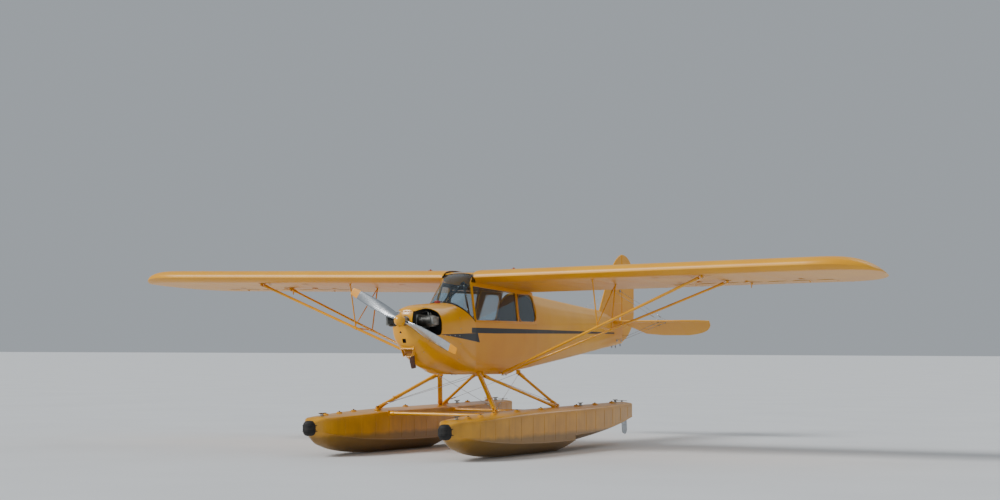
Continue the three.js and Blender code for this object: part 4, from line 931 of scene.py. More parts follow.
def framed_surface(outline, ribs, half_thick, place, pitch=0.016):
    """Cloth over a tube frame. outline and ribs are in the plane; place(u, v, w) gives the real point."""
    rim = along_outline(outline, pitch)
    edge = np.array(outline)
    (u0, v0), (u1, v1) = edge.min(axis=0), edge.max(axis=0)
    grid = np.array([(u, v) for u in np.arange(u0, u1, pitch) for v in np.arange(v0, v1, pitch)])
    for a, b in ribs:
        grid = grid[distance_to(grid, a, b) > 2.5 * RIB_TUBE]
    grid = np.concatenate([grid, *(beside_rib(a, b, pitch) for a, b in ribs)])
    grid = grid[from_edge(grid, outline) > EDGE_RINGS[-1] + 0.4 * pitch]
    corners = [Vector(p) for p in (*rim, *edge_rings(rim, outline), *grid)]
    filled = delaunay_2d_cdt(corners, [], [list(range(len(rim)))], 1, 1e-6)
    flat, faces = np.array([tuple(v) for v in filled[0]]), filled[2]
    gap = from_edge(flat, outline)
    tube_part = np.sqrt(np.clip(EDGE_TUBE ** 2 - (EDGE_TUBE - np.minimum(gap, EDGE_TUBE)) ** 2, 0, None))
    cloth = np.sqrt(np.clip((gap - EDGE_TUBE) / CLOTH_RUN, 0, 1))
    thick = tube_part + (half_thick - EDGE_TUBE) * cloth * (1 - DIP * cloth)
    for a, b in ribs:
        ridge = np.exp(-(distance_to(flat, a, b) / RIB_TUBE) ** 2)
        thick = np.maximum(thick,
                           tube_part + (half_thick - EDGE_TUBE) * np.clip(gap / RIB_FADE, 0, 1) * ridge)
    on_rim = gap < 1e-5
    thick[on_rim] = 0
    points = [place(u, v, w) for (u, v), w in zip(flat, thick)]
    other = {}
    for i, (u, v) in enumerate(flat):
        other[i] = i if on_rim[i] else len(points)
        if not on_rim[i]:
            points.append(place(u, v, -thick[i]))
    return points, [tuple(f) for f in faces] + [tuple(other[i] for i in reversed(f)) for f in faces]


def fin_place(u, v, w):
    return P(w, u, v)


# %% Fin and rudder
STERN_POST, RUDDER_HINGE, TAIL_END, ELEVATOR_HINGE = 4.985, 5.011, 5.446, 4.944
RUDDER_FRONT = RUDDER_HINGE - 0.016
HINGE_NOTCH = ELEVATOR_HINGE - 0.027
FIN_TOP = 2.752
FIN_HALF = 0.0165
fin_outline = bezier((4.15, 1.79), (4.42, 2.2), (4.62, 2.64), (STERN_POST, FIN_TOP), 26) + [
    (STERN_POST, 1.80), (HINGE_NOTCH, 1.80), (HINGE_NOTCH, 1.70), (4.3, 1.72)]
fin_ribs = [((4.42, 1.98), (STERN_POST, 2.02)), ((4.56, 2.24), (STERN_POST, 2.28)),
            ((4.72, 2.5), (STERN_POST, 2.54)), ((4.52, 1.76), (4.80, 2.58))]
rudder_outline = bezier((RUDDER_FRONT, FIN_TOP), (5.19, 2.77), (TAIL_END - 0.01, 2.64), (TAIL_END, 2.33), 18)
rudder_outline += bezier((TAIL_END, 1.85), (TAIL_END - 0.012, 1.64), (5.24, 1.48), (RUDDER_FRONT, 1.412), 18)
rudder_ribs = [((RUDDER_HINGE, z), (TAIL_END, z + lean)) for z, lean in (
    (1.62, 0.10), (1.85, 0.05), (2.06, 0.03), (2.27, 0.01), (2.46, -0.02), (2.62, -0.06))]
rudder_ribs.append(((RUDDER_HINGE, 1.45), (RUDDER_HINGE, 2.72)))
make_piece("fin_skin", framed_surface(fin_outline, fin_ribs, FIN_HALF, fin_place), fabric,
           instead_of=["fin"], crease=60)
make_piece("rudder_skin", framed_surface(rudder_outline, rudder_ribs, FIN_HALF, fin_place), fabric,
           "rudder", ["rudder"], 60)


def hinge_bolts(points, axis, length, radius=6 * MM):
    profile = [(-length / 2, radius * 0.6), (-length / 2, radius), (length / 2, radius),
               (length / 2, radius * 0.6)]
    return joined(*[turned(profile, p, axis, 10) for p in points])


hinge_places = [P(0, (STERN_POST + RUDDER_FRONT) / 2, z) for z in (1.5, 1.92, 2.32, 2.66)]
make_piece("rudder_hinges", hinge_bolts(hinge_places, UP, 0.05), tube_enamel)

# %% Tailplane and elevators
STAB_Z, STAB_HALF_THICK, STAB_TRAIL = 1.728, 0.0155, ELEVATOR_HINGE - 0.031
stab_outline = [(0.02, 4.5)] + bezier((1.06, 4.56), (1.29, 4.6), (1.425, 4.72), (1.452, STAB_TRAIL), 14)
stab_outline.append((0.02, STAB_TRAIL))
stab_ribs = [((x, 4.5), (x, STAB_TRAIL))
             for x in (0.2, 0.44, 0.68, 0.92, 1.16)] + [((0.05, 4.72), (1.42, 4.76))]


def level_place(u, v, w):
    return P(u, v, STAB_Z + w)


fin_slot = block(P(-0.018, 4.1, 1.6), P(0.018, 5.1, 2.7))
stab_shape = combined(framed_surface(stab_outline, stab_ribs, STAB_HALF_THICK, level_place), [fin_slot])
DROOP = radians(27)
ELEVATOR_INNER, ELEVATOR_HALF, ELEVATOR_FRONT, ELEVATOR_TRAIL = 0.046, 1.458, ELEVATOR_HINGE - 0.014, 5.382
elevator_outline = [(ELEVATOR_INNER, ELEVATOR_FRONT)] + bezier(
    (ELEVATOR_HALF, ELEVATOR_FRONT), (1.44, 5.18), (1.29, 5.33), (0.98, ELEVATOR_TRAIL), 18) + [
    (0.56, ELEVATOR_TRAIL), (0.292, 5.33), (ELEVATOR_INNER, 5.01)]
elevator_ribs = [((x, ELEVATOR_HINGE), (x, 5.38)) for x in (0.3, 0.52, 0.74, 0.96, 1.18)]


def drooped(u, v, w):
    """A point of the elevator, hanging down from the hinge line as it does when the stick is let go."""
    back = v - ELEVATOR_HINGE
    return P(u, ELEVATOR_HINGE + back * cos(DROOP) + w * sin(DROOP),
             STAB_Z - back * sin(DROOP) + w * cos(DROOP))


elevator_shape = framed_surface(elevator_outline, elevator_ribs, 0.0135, drooped)
torque_tube = turned([(-0.085, 0.008), (-0.085, 0.011), (0.085, 0.011), (0.085, 0.008)],
                     P(0, ELEVATOR_HINGE, STAB_Z), (1, 0, 0), 16)
tail_horn = side_plate([(ELEVATOR_HINGE + ds, STAB_Z + dz) for ds, dz in (
    (-0.010, -0.020), (0.010, -0.020), (0.010, 0.020), (-0.010, 0.020))], 0.03, 0.034)
make_piece("elevator_skin", joined(elevator_shape, mirrored(elevator_shape)), fabric, "elevators",
           ["elevators"], 60)
make_piece("elevator_torque_tube", joined(torque_tube, tail_horn, mirrored(tail_horn)), tube_enamel,
           "elevators")
make_pair("stabilizer_skin", stab_shape, fabric, instead_of="stabilizer", crease=60)
hinge_places = [P(x, STAB_TRAIL + 0.008, STAB_Z) for x in (0.24, 0.72, 1.2)]
make_pair("elevator_hinges", hinge_bolts(hinge_places, (1, 0, 0), 0.04), tube_enamel)
print("tail faces:", {n: len(PIECES[n].data.polygons) for n in ("fin_skin", "rudder_skin", "elevator_skin")})

# %% [markdown]
# # Rear fuselage
# Behind the cabin the fuselage is a tube frame with wooden stringers: one along the spine, two more
# on each side of the turtledeck, one on each flank and some under the belly. The cloth stands proud
# on them and on the four longerons, and sinks between.
# %% Rear fuselage
SILL_Z = 1.645
BODY_START = 1.6
# Columns: station, widest height, half width, top, bottom, exponent above, exponent below.
REAR_ROWS = [
    (BODY_START, SILL_Z, 0.315, 2.078, 1.062, 2.6, 9), (1.95, SILL_Z, 0.294, 2.050, 1.096, 2.3, 9),
    (2.4, 1.655, 0.262, 2.016, 1.140, 2.0, 9), (3.1, 1.668, 0.208, 1.962, 1.209, 1.8, 9),
    (3.8, 1.682, 0.148, 1.908, 1.278, 1.7, 9), (4.3, 1.694, 0.102, 1.868, 1.327, 1.7, 9),
    (4.7, 1.702, 0.062, 1.770, 1.366, 2.4, 8), (STERN_POST, 1.708, 0.026, 1.740, 1.398, 6, 6),
]
QUARTER = 20
# Ring positions of the stringers: 0 is the port longeron and QUARTER the spine.
STRINGERS = {0: 1.0, 9: 0.8, 15: 0.8, 20: 1.0, 25: 0.8, 31: 0.8, 40: 1.0, 50: 0.8, 54.5: 1.0, 60: 0.7,
             65.5: 1.0,
             70: 0.8}
FRAMES = [BODY_START, 2.1, 2.65, 3.25, 3.85, 4.4, 4.75, STERN_POST]
SINK_RING = 8 * MM


def body_ring(row, quarter=QUARTER, inset=0.0):
    """One section of the body, its points evenly spread in each quarter; it starts at port."""
    station, middle, half, top, bottom, above, below = row
    ring = []
    for start in range(4):
        t = np.linspace(start, start + 1, 240) * pi / 2
        power = 2 / (above if start < 2 else below)
        rise = (top - middle if start < 2 else middle - bottom) - inset
        x, z = (np.sign(wave) * np.abs(wave) ** power for wave in (np.cos(t).round(12), np.sin(t).round(12)))
        x, z = x * (half - inset), middle + z * rise
        run = np.concatenate([[0], np.cumsum(np.hypot(np.diff(x), np.diff(z)))])
        spots = run[-1] * np.arange(quarter) / quarter
        ring += [P(*pair)
                 for pair in zip(np.interp(spots, run, x), [station] * quarter, np.interp(spots, run, z))]
    return ring


def stringer_share(k):
    """How much a ring point lies on a stringer, from 0 to 1."""
    best = 0.0
    for place, share in STRINGERS.items():
        away = min(abs(k - place), 4 * QUARTER - abs(k - place))
        best = max(best, share * max(0.0, 1 - away / 1.6) ** 0.8)
    return best


def clothed_ring(row):
    """A section whose cloth sinks between the stringers, deeper away from the frames."""
    from_frame = min(abs(row[0] - f) for f in FRAMES)
    sag = (3.5 + 2.5 * min(1.0, from_frame / 0.12)) * MM * min(1.0, row[2] / 0.12)
    return [a.lerp(b, sag / SINK_RING * (1 - stringer_share(k)))
            for k, (a, b) in enumerate(zip(body_ring(row), body_ring(row, inset=SINK_RING)))]


rear_rings = [clothed_ring(row) for row in resample(REAR_ROWS, even(BODY_START, STERN_POST, 90))]
notch = block(P(-0.2, HINGE_NOTCH, 1.69), P(0.2, STERN_POST + 0.06, 1.80))
rear_shape = combined(skin(rear_rings), [notch])
make_piece("fuselage_rear_skin", rear_shape, striped_fabric, instead_of=["fuselage_rear"], crease=50)
bulkhead = [body_ring((s, SILL_Z, 0.285, 2.045, 1.092, 2.6, 9), 16)
            for s in (BODY_START - 8 * MM, BODY_START)]
make_piece("cabin_rear_bulkhead", skin(bulkhead), webbing)
print("rear fuselage faces:", len(rear_shape[1]))

# %% [markdown]
# # Nose and cowling
# The nose bowl is a spun and riveted aluminium cap, the cowl behind it two halves that meet in a
# seam along the flank, and the boot cowl carries the firewall and the windshield. They follow the
# solid model's section table, here with a smooth curve through its rows. Each is a shell: the outer
# skin less an inner one 3 mm further in, less the openings.
# %% Sections of the nose
FIREWALL = -0.455
# Columns: station, widest height, half width, top, bottom, exponent above, exponent below.
NOSE_ROWS = [
    (-1.262, 1.570, 0.120, 1.712, 1.428, 2.2, 2.2), (-1.240, 1.568, 0.178, 1.772, 1.360, 2.3, 2.2),
    (-1.190, 1.560, 0.222, 1.806, 1.300, 2.4, 2.2), (-1.090, 1.555, 0.256, 1.832, 1.225, 2.5, 2.2),
    (-0.920, 1.550, 0.288, 1.847, 1.115, 2.5, 2.3), (-0.600, 1.550, 0.318, 1.868, 1.025, 2.5, 2.8),
    (FIREWALL, 1.560, 0.326, 1.880, 0.995, 2.5, 3.6), (-0.100, 1.600, 0.332, 1.890, 0.980, 2.5, 8),
]
SHEET = 3 * MM


def nose_loft(stations, inset=0.0, quarter=18):
    return skin([body_ring(row, quarter, inset) for row in resample(NOSE_ROWS, stations)])


def surface_x(station, z):
    """Distance to port of the skin at a station and a height."""
    _, middle, half, top, bottom, above, below = resample(NOSE_ROWS, [station])[0]
    share = (z - middle) / (top - middle) if z >= middle else (middle - z) / (middle - bottom)
    power = above if z >= middle else below
    return half * max(0.0, 1 - min(1.0, share) ** power) ** (1 / power)


def surface_station(x, z):
    """Station at which the nose, coming from the front, first reaches that far to port."""
    return next((s for s in even(-1.262, -1.09, 90) if surface_x(s, z) >= x), -1.09)


def rounded_line(points, per_span=6):
    """A smooth line through the points."""
    points = [np.array(p, float) for p in points]
    ends = points[:1] + points + points[-1:]
    made = []
    for a, b, c, d in zip(ends, ends[1:], ends[2:], ends[3:]):
        for k in range(per_span):
            t = k / per_span
            made.append(0.5 * (2 * b + (c - a) * t + (2 * a - 5 * b + 4 * c - d) * t ** 2
                               + (3 * b - a - 3 * c + d) * t ** 3))
    return made + points[-1:]


# %% Openings of the nose
COOLING_INNER = 0.092
COOLING_LINE = rounded_line([
    (-1.30, 1.600), (-1.20, 1.552), (-1.07, 1.490), (-0.96, 1.468), (-0.912, 1.476), (-0.89, 1.506),
    (-0.882, 1.60), (-0.882, 1.690), (-0.902, 1.748), (-0.96, 1.784), (-1.04, 1.798), (-1.13, 1.790),
    (-1.222, 1.765), (-1.30, 1.745)])
cooling_tool = side_plate(COOLING_LINE, COOLING_INNER, 0.5)
SHAFT_HOLE = 0.062
BOWL_FRONT, BOWL_FACE = -1.262, -1.263
shaft_tool = turned([(0, SHAFT_HOLE), (0.17, SHAFT_HOLE)], P(0, -1.32, HUB.z), (0, 1, 0), 48)
FRONT_HOLES = [(-0.069, 1.503, 0.013), (-0.021, 1.400, 0.025)]
front_tools = [block(P(x - half, -1.30, z - half), P(x + half, -1.18, z + half), 4 * MM)
               for x, z, half in FRONT_HOLES]
rim_path = [P(surface_x(s, z), s, z) for s, z in COOLING_LINE if s > -1.258]
rim_path += [P(COOLING_INNER, surface_station(COOLING_INNER, z), z)
             for z in even(rim_path[-1].z, rim_path[0].z, 14)]
cooling_rim = tube(rim_path + rim_path[:2], 4.5 * MM)
shaft_rim = tube([P(cos(t) * SHAFT_HOLE, BOWL_FACE, HUB.z + sin(t) * SHAFT_HOLE)
                  for t in even(0, 2 * pi, 40)],
                 4 * MM)
x, z, half = FRONT_HOLES[0]
hole_rim = tube([P(x + dx * half, BOWL_FACE, z + dz * half) for dx, dz in (
    (-1, -1), (1, -1), (1, 1), (-1, 1), (-1, -1), (1, -1))], 2.2 * MM, 8)

# %% Nose bowl, cowl halves and boot cowl
bowl_stations = [BOWL_FRONT, -1.256, -1.248, -1.24, -1.228, -1.215, -1.2, -1.18, -1.16, -1.14, -1.12, -1.1,
                 -1.0912]
cooling_tools = cooling_tool, mirrored(cooling_tool)
bowl = combined(nose_loft(bowl_stations), [
    nose_loft(bowl_stations[1:-1] + [-1.07], SHEET), *cooling_tools, shaft_tool, *front_tools])
make_piece("nose_bowl_shell", joined(bowl, cooling_rim, mirrored(cooling_rim), shaft_rim, hole_rim),
           cowl_enamel,
           instead_of=["nose_bowl"], crease=35)

SEAM_Z = 1.452
cowl_stations = even(-1.0896, FIREWALL - 1 * MM, 26)
cowl = combined(combined(nose_loft(cowl_stations), cooling_tools), [
    nose_loft([-1.13] + cowl_stations[1:-1] + [-0.42], SHEET)])
lap = skin([[P(surface_x(s, z) + out, s, z) for z, out in (
    (SEAM_Z - 0.012, -1 * MM), (SEAM_Z - 0.012, 1.2 * MM), (SEAM_Z + 0.03, 1.2 * MM),
    (SEAM_Z + 0.03, -1 * MM))]
    for s in even(-0.872, -0.462, 14)])
make_piece("engine_cowl_shell", joined(cowl, lap, mirrored(lap)), cowl_enamel, instead_of=["engine_cowl"],
           crease=35)

SHIELD_FRONT, SHIELD_SIDE, SHIELD_BASE = -0.44, -0.118, 1.888
slope = (SHIELD_SIDE - SHIELD_FRONT) / (SHIELD_BASE - SILL_Z)
shield_tool = side_plate([(SHIELD_FRONT - 0.4 * slope, SHIELD_BASE + 0.4), (SHIELD_SIDE, SILL_Z), (0, SILL_Z),
                          (0, SHIELD_BASE + 0.4)], -0.6, 0.6)
boot_stations = even(FIREWALL + 0.2 * MM, -0.1008, 16)
boot = combined(combined(nose_loft(boot_stations), [shield_tool]), [
    nose_loft([FIREWALL + 8 * MM] + boot_stations[1:-1] + [-0.06], SHEET)])
make_piece("boot_cowl_shell", boot, cowl_enamel, instead_of=["boot_cowl"], crease=35)
print("faces of the bowl, cowl and boot cowl:", [len(part[1]) for part in (bowl, cowl, boot)])

# %% [markdown]
# Quarter-turn fasteners hold the cowl along its seam and its two ends, rows of rivets run beside
# them, and a long hinge lies along the crown. The rivets are low domes, at their real 5 mm.
# %% Fasteners, rivets and the crown hinge
def out_of_skin(station, z, side=1):
    """(point, outward direction) on the nose's skin."""
    step = 4 * MM
    below, above, ahead, behind, point = (P(surface_x(s, h), s, h) for s, h in (
        (station, z - step), (station, z + step), (station - step, z), (station + step, z), (station, z)))
    out = (above - below).cross(behind - ahead).normalized()
    out = out if out.x > 0 else -out
    return Vector((side * point.x, point.y, point.z)), Vector((side * out.x, out.y, out.z))


def around_skin(station, count):
    """(point, outward direction) all round one section of the nose."""
    ring = body_ring(resample(NOSE_ROWS, [station])[0], 60)
    points = [ring[round(f * 240) % 240] for f in even(0, 1, count)]
    return [(point, (point - P(0, station, 1.5)).normalized()) for point in points]


def in_opening(point):
    return at(-1.31) < point.y < at(-0.88) and 1.46 < point.z < 1.8 and abs(point.x) > 0.09


fasteners = [out_of_skin(s, SEAM_Z + 0.018, side) for side in (1, -1) for s in even(-0.82, -0.5, 4)]
fasteners += around_skin(-0.475, 17) + around_skin(-1.074, 13)
heads = [turned([(-1 * MM, 8 * MM), (1.4 * MM, 8 * MM), (2.2 * MM, 6.5 * MM), (1.8 * MM, 2 * MM)], point, out,
                14)
         for point, out in fasteners if not in_opening(point)]
make_piece("cowl_fasteners", joined(*heads), stainless_wire)
rows = [out_of_skin(s, SEAM_Z - 0.018, side) for side in (1, -1) for s in even(-0.86, -0.48, 15)]
rows += around_skin(-0.435, 61) + around_skin(-1.105, 45)
rows = [(p, out) for p, out in rows
        if not in_opening(p) and not (p.y > at(SHIELD_FRONT) and p.z > SHIELD_BASE - 0.02)]
make_piece("cowl_rivets", rivets(rows), sheet_enamel)
crown = [P(0, s, resample(NOSE_ROWS, [s])[0][3] + 2 * MM) for s in even(-1.085, -0.56, 30)]
make_piece("cowl_crown_hinge", tube(crown, 3.4 * MM, 8), sheet_enamel)

# %% Scoop and exhaust
SCOOP_FRONT, SCOOP_BACK = -1.215, -1.152
SCOOP_LOW, SCOOP_MOUTH, SCOOP_HIGH = 1.208, 1.302, 1.350
SCOOP_FOOT, SCOOP_TOP = 0.064, 0.104


def scoop_half(z):
    return SCOOP_FOOT + (SCOOP_TOP - SCOOP_FOOT) * (z - SCOOP_LOW) / (SCOOP_HIGH - SCOOP_LOW)


def scoop_ring(station, low, high, inset, rounding=0.016):
    """A section of the scoop: wider at its top, its lower corners round."""
    half_low, half_high = scoop_half(low) - inset, scoop_half(high) - inset
    right = [(half_low - rounding * (1 - sin(t)), low + rounding * (1 - cos(t))) for t in even(0, pi / 2, 7)]
    right.append((half_high, high))
    return [P(-x, station, z) for x, z in right[::-1]] + [P(x, station, z) for x, z in right]


noseward = nose_loft(bowl_stations[:-1] + cowl_stations, -0.5 * MM)
scoop = combined(skin([scoop_ring(SCOOP_FRONT, SCOOP_LOW, SCOOP_HIGH, 0),
                       scoop_ring(SCOOP_BACK, SCOOP_LOW + 0.01, SCOOP_HIGH, 4 * MM)]),
                 [skin([scoop_ring(s, SCOOP_LOW + 4 * MM, SCOOP_MOUTH, 4 * MM) for s in (
                     SCOOP_FRONT - 0.05, SCOOP_BACK - 6 * MM)]), noseward])
mouth_ends = [P(side * scoop_half(SCOOP_MOUTH), SCOOP_FRONT, SCOOP_MOUTH) for side in (-1, 1)]
lip = mouth_ends[:1] + scoop_ring(SCOOP_FRONT, SCOOP_LOW, SCOOP_MOUTH, 2 * MM)[1:-1] + mouth_ends[::-1]
make_piece("intake_scoop", joined(scoop, tube(lip + lip[1:2], 3.5 * MM, 8)), sheet_enamel,
           instead_of=["intake_box"], crease=30)
mesh_wires = [tube([P(x, SCOOP_FRONT + 0.02, z) for z in (1.214, SCOOP_MOUTH)], 1.2 * MM, 6)
              for x in even(-0.05, 0.05, 9)]
mesh_wires += [tube([P(side * (scoop_half(z) - 6 * MM), SCOOP_FRONT + 0.022, z) for side in (-1, 1)],
                    1.2 * MM, 6)
               for z in even(1.225, 1.29, 5)]
make_piece("scoop_screen", joined(*mesh_wires), black_enamel)
pipe_path = [P(*p) for p in rounded_line([(0, -1.104, 1.27), (0, -1.10, 1.165), (0.004, -1.07, 1.072)], 8)]
pipe_outer = tube(pipe_path, 31 * MM, 32)
pipe_tail = (pipe_path[-1] - pipe_path[-2]).normalized()
pipe = combined(pipe_outer,
                [tube([*pipe_path[6:], pipe_path[-1] + pipe_tail * 0.02], 28.6 * MM, 32), noseward])
pipe_clamp = tube([pipe_path[9], pipe_path[9] + Vector((0, 1, -6)).normalized() * 0.012], 33.5 * MM, 32)
make_piece("exhaust_pipe", joined(pipe, pipe_clamp), exhaust_steel, instead_of=["exhaust"])
print("scoop, screen and exhaust made")

# %% [markdown]
# # Engine
# An air-cooled flat four. Each cylinder is a finned steel barrel screwed into a finned head, with a
# cast rocker cover at its end and two pushrod tubes below. The front pair stands out of the cowl
# through its arched openings. Black sheet baffles line each opening and force the air down
# between the fins, so nothing but cylinders shows in it.
# %% Cylinders
# Columns: side, station, reach from the middle of the rocker cover's face.
CYLINDERS = [(1, -1.118, 0.332), (-1, -1.134, 0.332), (1, -0.945, 0.262), (-1, -0.961, 0.262)]
CASE_HALF = 0.115


def finned(start, end, root, tip, pitch, thick):
    """Profile of a barrel with thin fins."""
    profile, count = [(start, root)], int((end - start) / pitch)
    for k in range(count):
        far = start + (k + 0.3) * pitch
        profile += [(far, root), (far + 0.3 * thick, tip), (far + thick, tip), (far + 1.3 * thick, root)]
    return profile + [(end, root), (end, 1e-5)]


def cylinder_at(side, station, reach):
    """(metal, cover, leads) of one cylinder that lies out to the side."""
    y, z, out = at(station), HUB.z, (side, 0, 0)
    centre = Vector((0, y, z))
    split = reach - 0.095
    barrel = turned(finned(CASE_HALF - 5 * MM, split, 0.053, 0.066, 6.5 * MM, 1.8 * MM), centre, out, 36)
    head = turned(finned(split - 1 * MM, reach - 0.03, 0.058, 0.070, 9 * MM, 3 * MM), centre, out, 36)
    low_x, high_x = sorted((side * (reach - 0.034), side * reach))
    cover = block((low_x, y - 0.05, z - 0.052), (high_x, y + 0.05, z + 0.052), 11 * MM, 3)
    flange = block((low_x + (5 * MM if side < 0 else 0), y - 0.054, z - 0.056),
                   (high_x - (5 * MM if side > 0 else 0) - side * 0.022, y + 0.054, z + 0.056), 3 * MM)
    screws = [turned([(0, 4.5 * MM), (3 * MM, 4.5 * MM), (4 * MM, 3 * MM), (4 * MM, 1e-5)], Vector((
        side * (reach - 2 * MM), y + dy,
        z + dz)), out, 8) for dy in (-0.036, 0.036) for dz in (-0.037, 0.037)]
    tubes = [tube([Vector((side * (CASE_HALF - 8 * MM), y + dy, z - 0.062)),
                   Vector((side * (reach - 0.03), y + dy, z - 0.058))], 8 * MM, 12) for dy in (-0.02, 0.02)]
    plug = Vector((side * (split + 0.02), y - 0.03, z + 0.062))
    plug_way = Vector((0, -0.3, 1)).normalized()
    plug_body = turned([(0, 7 * MM), (0.02, 7 * MM), (0.02, 9 * MM), (0.03, 9 * MM), (0.03, 6 * MM),
                        (0.045, 5 * MM), (0.045, 1e-5)], plug, plug_way, 12)
    lead_start = plug + plug_way * 0.04
    lead = tube(rounded_line([lead_start, lead_start + Vector((-side * 0.02, 0.0, 0.012)),
                              Vector((side * 0.13, y + 0.02, z + 0.088)),
                              Vector((side * 0.1, y + 0.12, z + 0.085)),
                              Vector((side * 0.08, at(-0.68), z + 0.07))], 6), 3.5 * MM, 8)
    return joined(barrel, head, *tubes, plug_body), joined(cover, flange, *screws), lead


metal, covers, leads = zip(*(cylinder_at(*row) for row in CYLINDERS))
case = block(P(-CASE_HALF, -1.175, HUB.z - 0.095), P(CASE_HALF, -0.66, HUB.z + 0.085), 22 * MM, 4)
nose_case = turned([(0, 0.075), (0.02, 0.075), (0.03, 0.055), (0.055, 0.048), (0.055, 1e-5)],
                   P(0, -1.165, HUB.z), (0, -1, 0), 36)
sump = block(P(-0.09, -1.08, HUB.z - 0.19), P(0.09, -0.78, HUB.z - 0.08), 20 * MM, 3)
magnetos = [turned([(0, 0.045), (0.07, 0.045), (0.08, 0.035), (0.1, 0.033), (0.1, 1e-5)],
                   P(x, -0.68, HUB.z + 0.02), (0, 1, 0), 24) for x in (-0.055, 0.055)]
bosses = [turned([(0, 0.012), (0.014, 0.012), (0.016, 0.006), (0.016, 1e-5)], P(x, s, HUB.z + 0.082), UP, 10)
          for x in (-0.075, 0, 0.075) for s in (-1.12, -1.0, -0.88, -0.76)]
mounts = [tube([P(sx * 0.095, -0.655, HUB.z + sz * 0.07),
                P(sx * 0.205, FIREWALL - 4 * MM, HUB.z + sz * 0.12 - 0.03)], 11 * MM, 12)
          for sx in (1, -1) for sz in (1, -1)]
make_piece("engine_block", joined(case, nose_case, sump, *magnetos, *bosses, *metal), cast_aluminium,
           slot="engine_castings", instead_of=["engine"], crease=30)
make_piece("rocker_covers", joined(*covers), cast_aluminium, slot="engine_castings")
make_piece("ignition_leads", joined(*leads), rubber)
make_piece("engine_mount", joined(*mounts), black_enamel)

# %% Baffles in and behind the openings
opening_middle = np.mean(COOLING_LINE, axis=0)


def baffle_ring(station, z, x_low, x_high):
    """A section through the baffle wall beside one point of the opening's outline."""
    away = Vector((0, station - opening_middle[0], z - opening_middle[1])).normalized()
    near, far = away * 6 * MM, away * 8 * MM
    return [P(x, station + d.y, z + d.z) for x,
            d in ((x_low, near), (x_high, near), (x_high, far), (x_low, far))]


walls = [baffle_ring(s, z, COOLING_INNER + 4 * MM, max(0.1, surface_x(s, z) - 12 * MM))
         for s, z in COOLING_LINE if s > -1.2]
inner_wall = side_plate([(s, z) for s, z in COOLING_LINE if s > -1.24], COOLING_INNER + 1 * MM,
                        COOLING_INNER + 3 * MM)
screen = combined(plate([(-0.094, 1.365), (0.094, 1.365), (0.094, 1.772), (-0.094, 1.772)], at(-1.222),
                        at(-1.22), axis=1),
                  [turned([(0, 0.05), (0.2, 0.05)], P(0, -1.3, HUB.z), (0, 1, 0), 32)])
baffles = joined(skin(walls), inner_wall)
make_piece("cooling_baffles", joined(baffles, mirrored(baffles), screen), crackle_black)
print("engine pieces:", len(PIECES))

# %% [markdown]
# # Propeller and spinner
# The blades twist from 50 degrees at the hub to 15 at the tip. The solid model's nine sections are
# joined here by a smooth curve, with a flat-bottomed section that is thickest near its front.
# %% Propeller
PROP_ANGLE = radians(26.5)
TIP_START, TIP_START_CHORD, TIP_CHORD = PROP_RADIUS - 0.028, 0.092, 0.060
# Columns: radius, chord, thickness, blade angle in degrees.
BLADE = [
    (0.030, 0.062, 0.046, 50), (0.120, 0.092, 0.034, 42), (0.260, 0.122, 0.023, 32),
    (0.420, 0.132, 0.017, 25),
    (0.600, 0.124, 0.012, 19.5), (0.740, 0.106, 0.009, 16.5), (TIP_START, TIP_START_CHORD, 0.007, 15),
    (PROP_RADIUS - 0.007, 0.082, 0.006, 15), (PROP_RADIUS, TIP_CHORD, 0.004, 15)]
TO_DISC = Matrix.Rotation(PROP_ANGLE, 3, "Y")


def in_disc(part):
    """A shape built about the origin with its blades along X, moved to where the propeller stands."""
    return [TO_DISC @ Vector(p) + HUB for p in part[0]], part[1]


def blade(side):
    rings = []
    radii = even(0.030, PROP_RADIUS - 0.035, 26) + even(TIP_START, PROP_RADIUS - 0.0005, 9)
    for radius, chord, thick, angle in resample(BLADE, radii):
        if radius > TIP_START:
            round_off = (radius - TIP_START) / (PROP_RADIUS - TIP_START)
            chord = TIP_CHORD + (TIP_START_CHORD - TIP_CHORD) * (1 - round_off ** 3) ** 0.5
        turn = Matrix.Rotation(radians(angle) * side, 3, "X")
        rings.append([turn @ Vector((0, sin(t) * (1 + 0.3 * cos(t)) * thick / 2, cos(t) * chord / 2))
                      + Vector((radius * side, 0, 0)) for t in circle(26)])
    return skin(rings)


hub = turned([(-0.074, 0.054), (-0.062, 0.054), (-0.060, 0.046), (-0.034, 0.048), (-0.026, 0.053),
              (0.026, 0.053),
              (0.036, 0.047), (0.050, 0.046), (0.052, 0.054), (0.062, 0.054), (0.064, 0.040), (0.100, 0.038)],
             (0, 0, 0), (0, 1, 0), 48)
BOLT_CIRCLE = 0.046
bolts = [turned(profile, (cos(t) * BOLT_CIRCLE, 0, sin(t) * BOLT_CIRCLE), (0, 1, 0), sides)
         for t in circle(6) for profile, sides in (
             ([(0.060, 7 * MM), (0.070, 7 * MM), (0.072, 5 * MM), (0.078, 5 * MM), (0.078, 1e-5)], 6),
             ([(-0.066, 6 * MM), (0.054, 6 * MM)], 10))]
make_piece("propeller_blades", in_disc(joined(blade(1), blade(-1))), blade_metal, body="propeller",
           instead_of=["propeller"], crease=50)
make_piece("propeller_hub", in_disc(joined(hub, *bolts)), cast_aluminium, body="propeller")
cap_curve = rounded_line([(0, 0), (22, 5), (42, 17), (58, 35), (69, 58), (72, 74), (72.5, 84)], 5)
cap_profile = [(y * MM, max(r, 0.01) * MM) for r, y in cap_curve] + [(0.0835, 0.070), (0.0835, 1e-5)]
cap_tip = HUB - Vector((0, 0.1584, 0))
cap = turned(cap_profile, cap_tip, (0, 1, 0), 56)
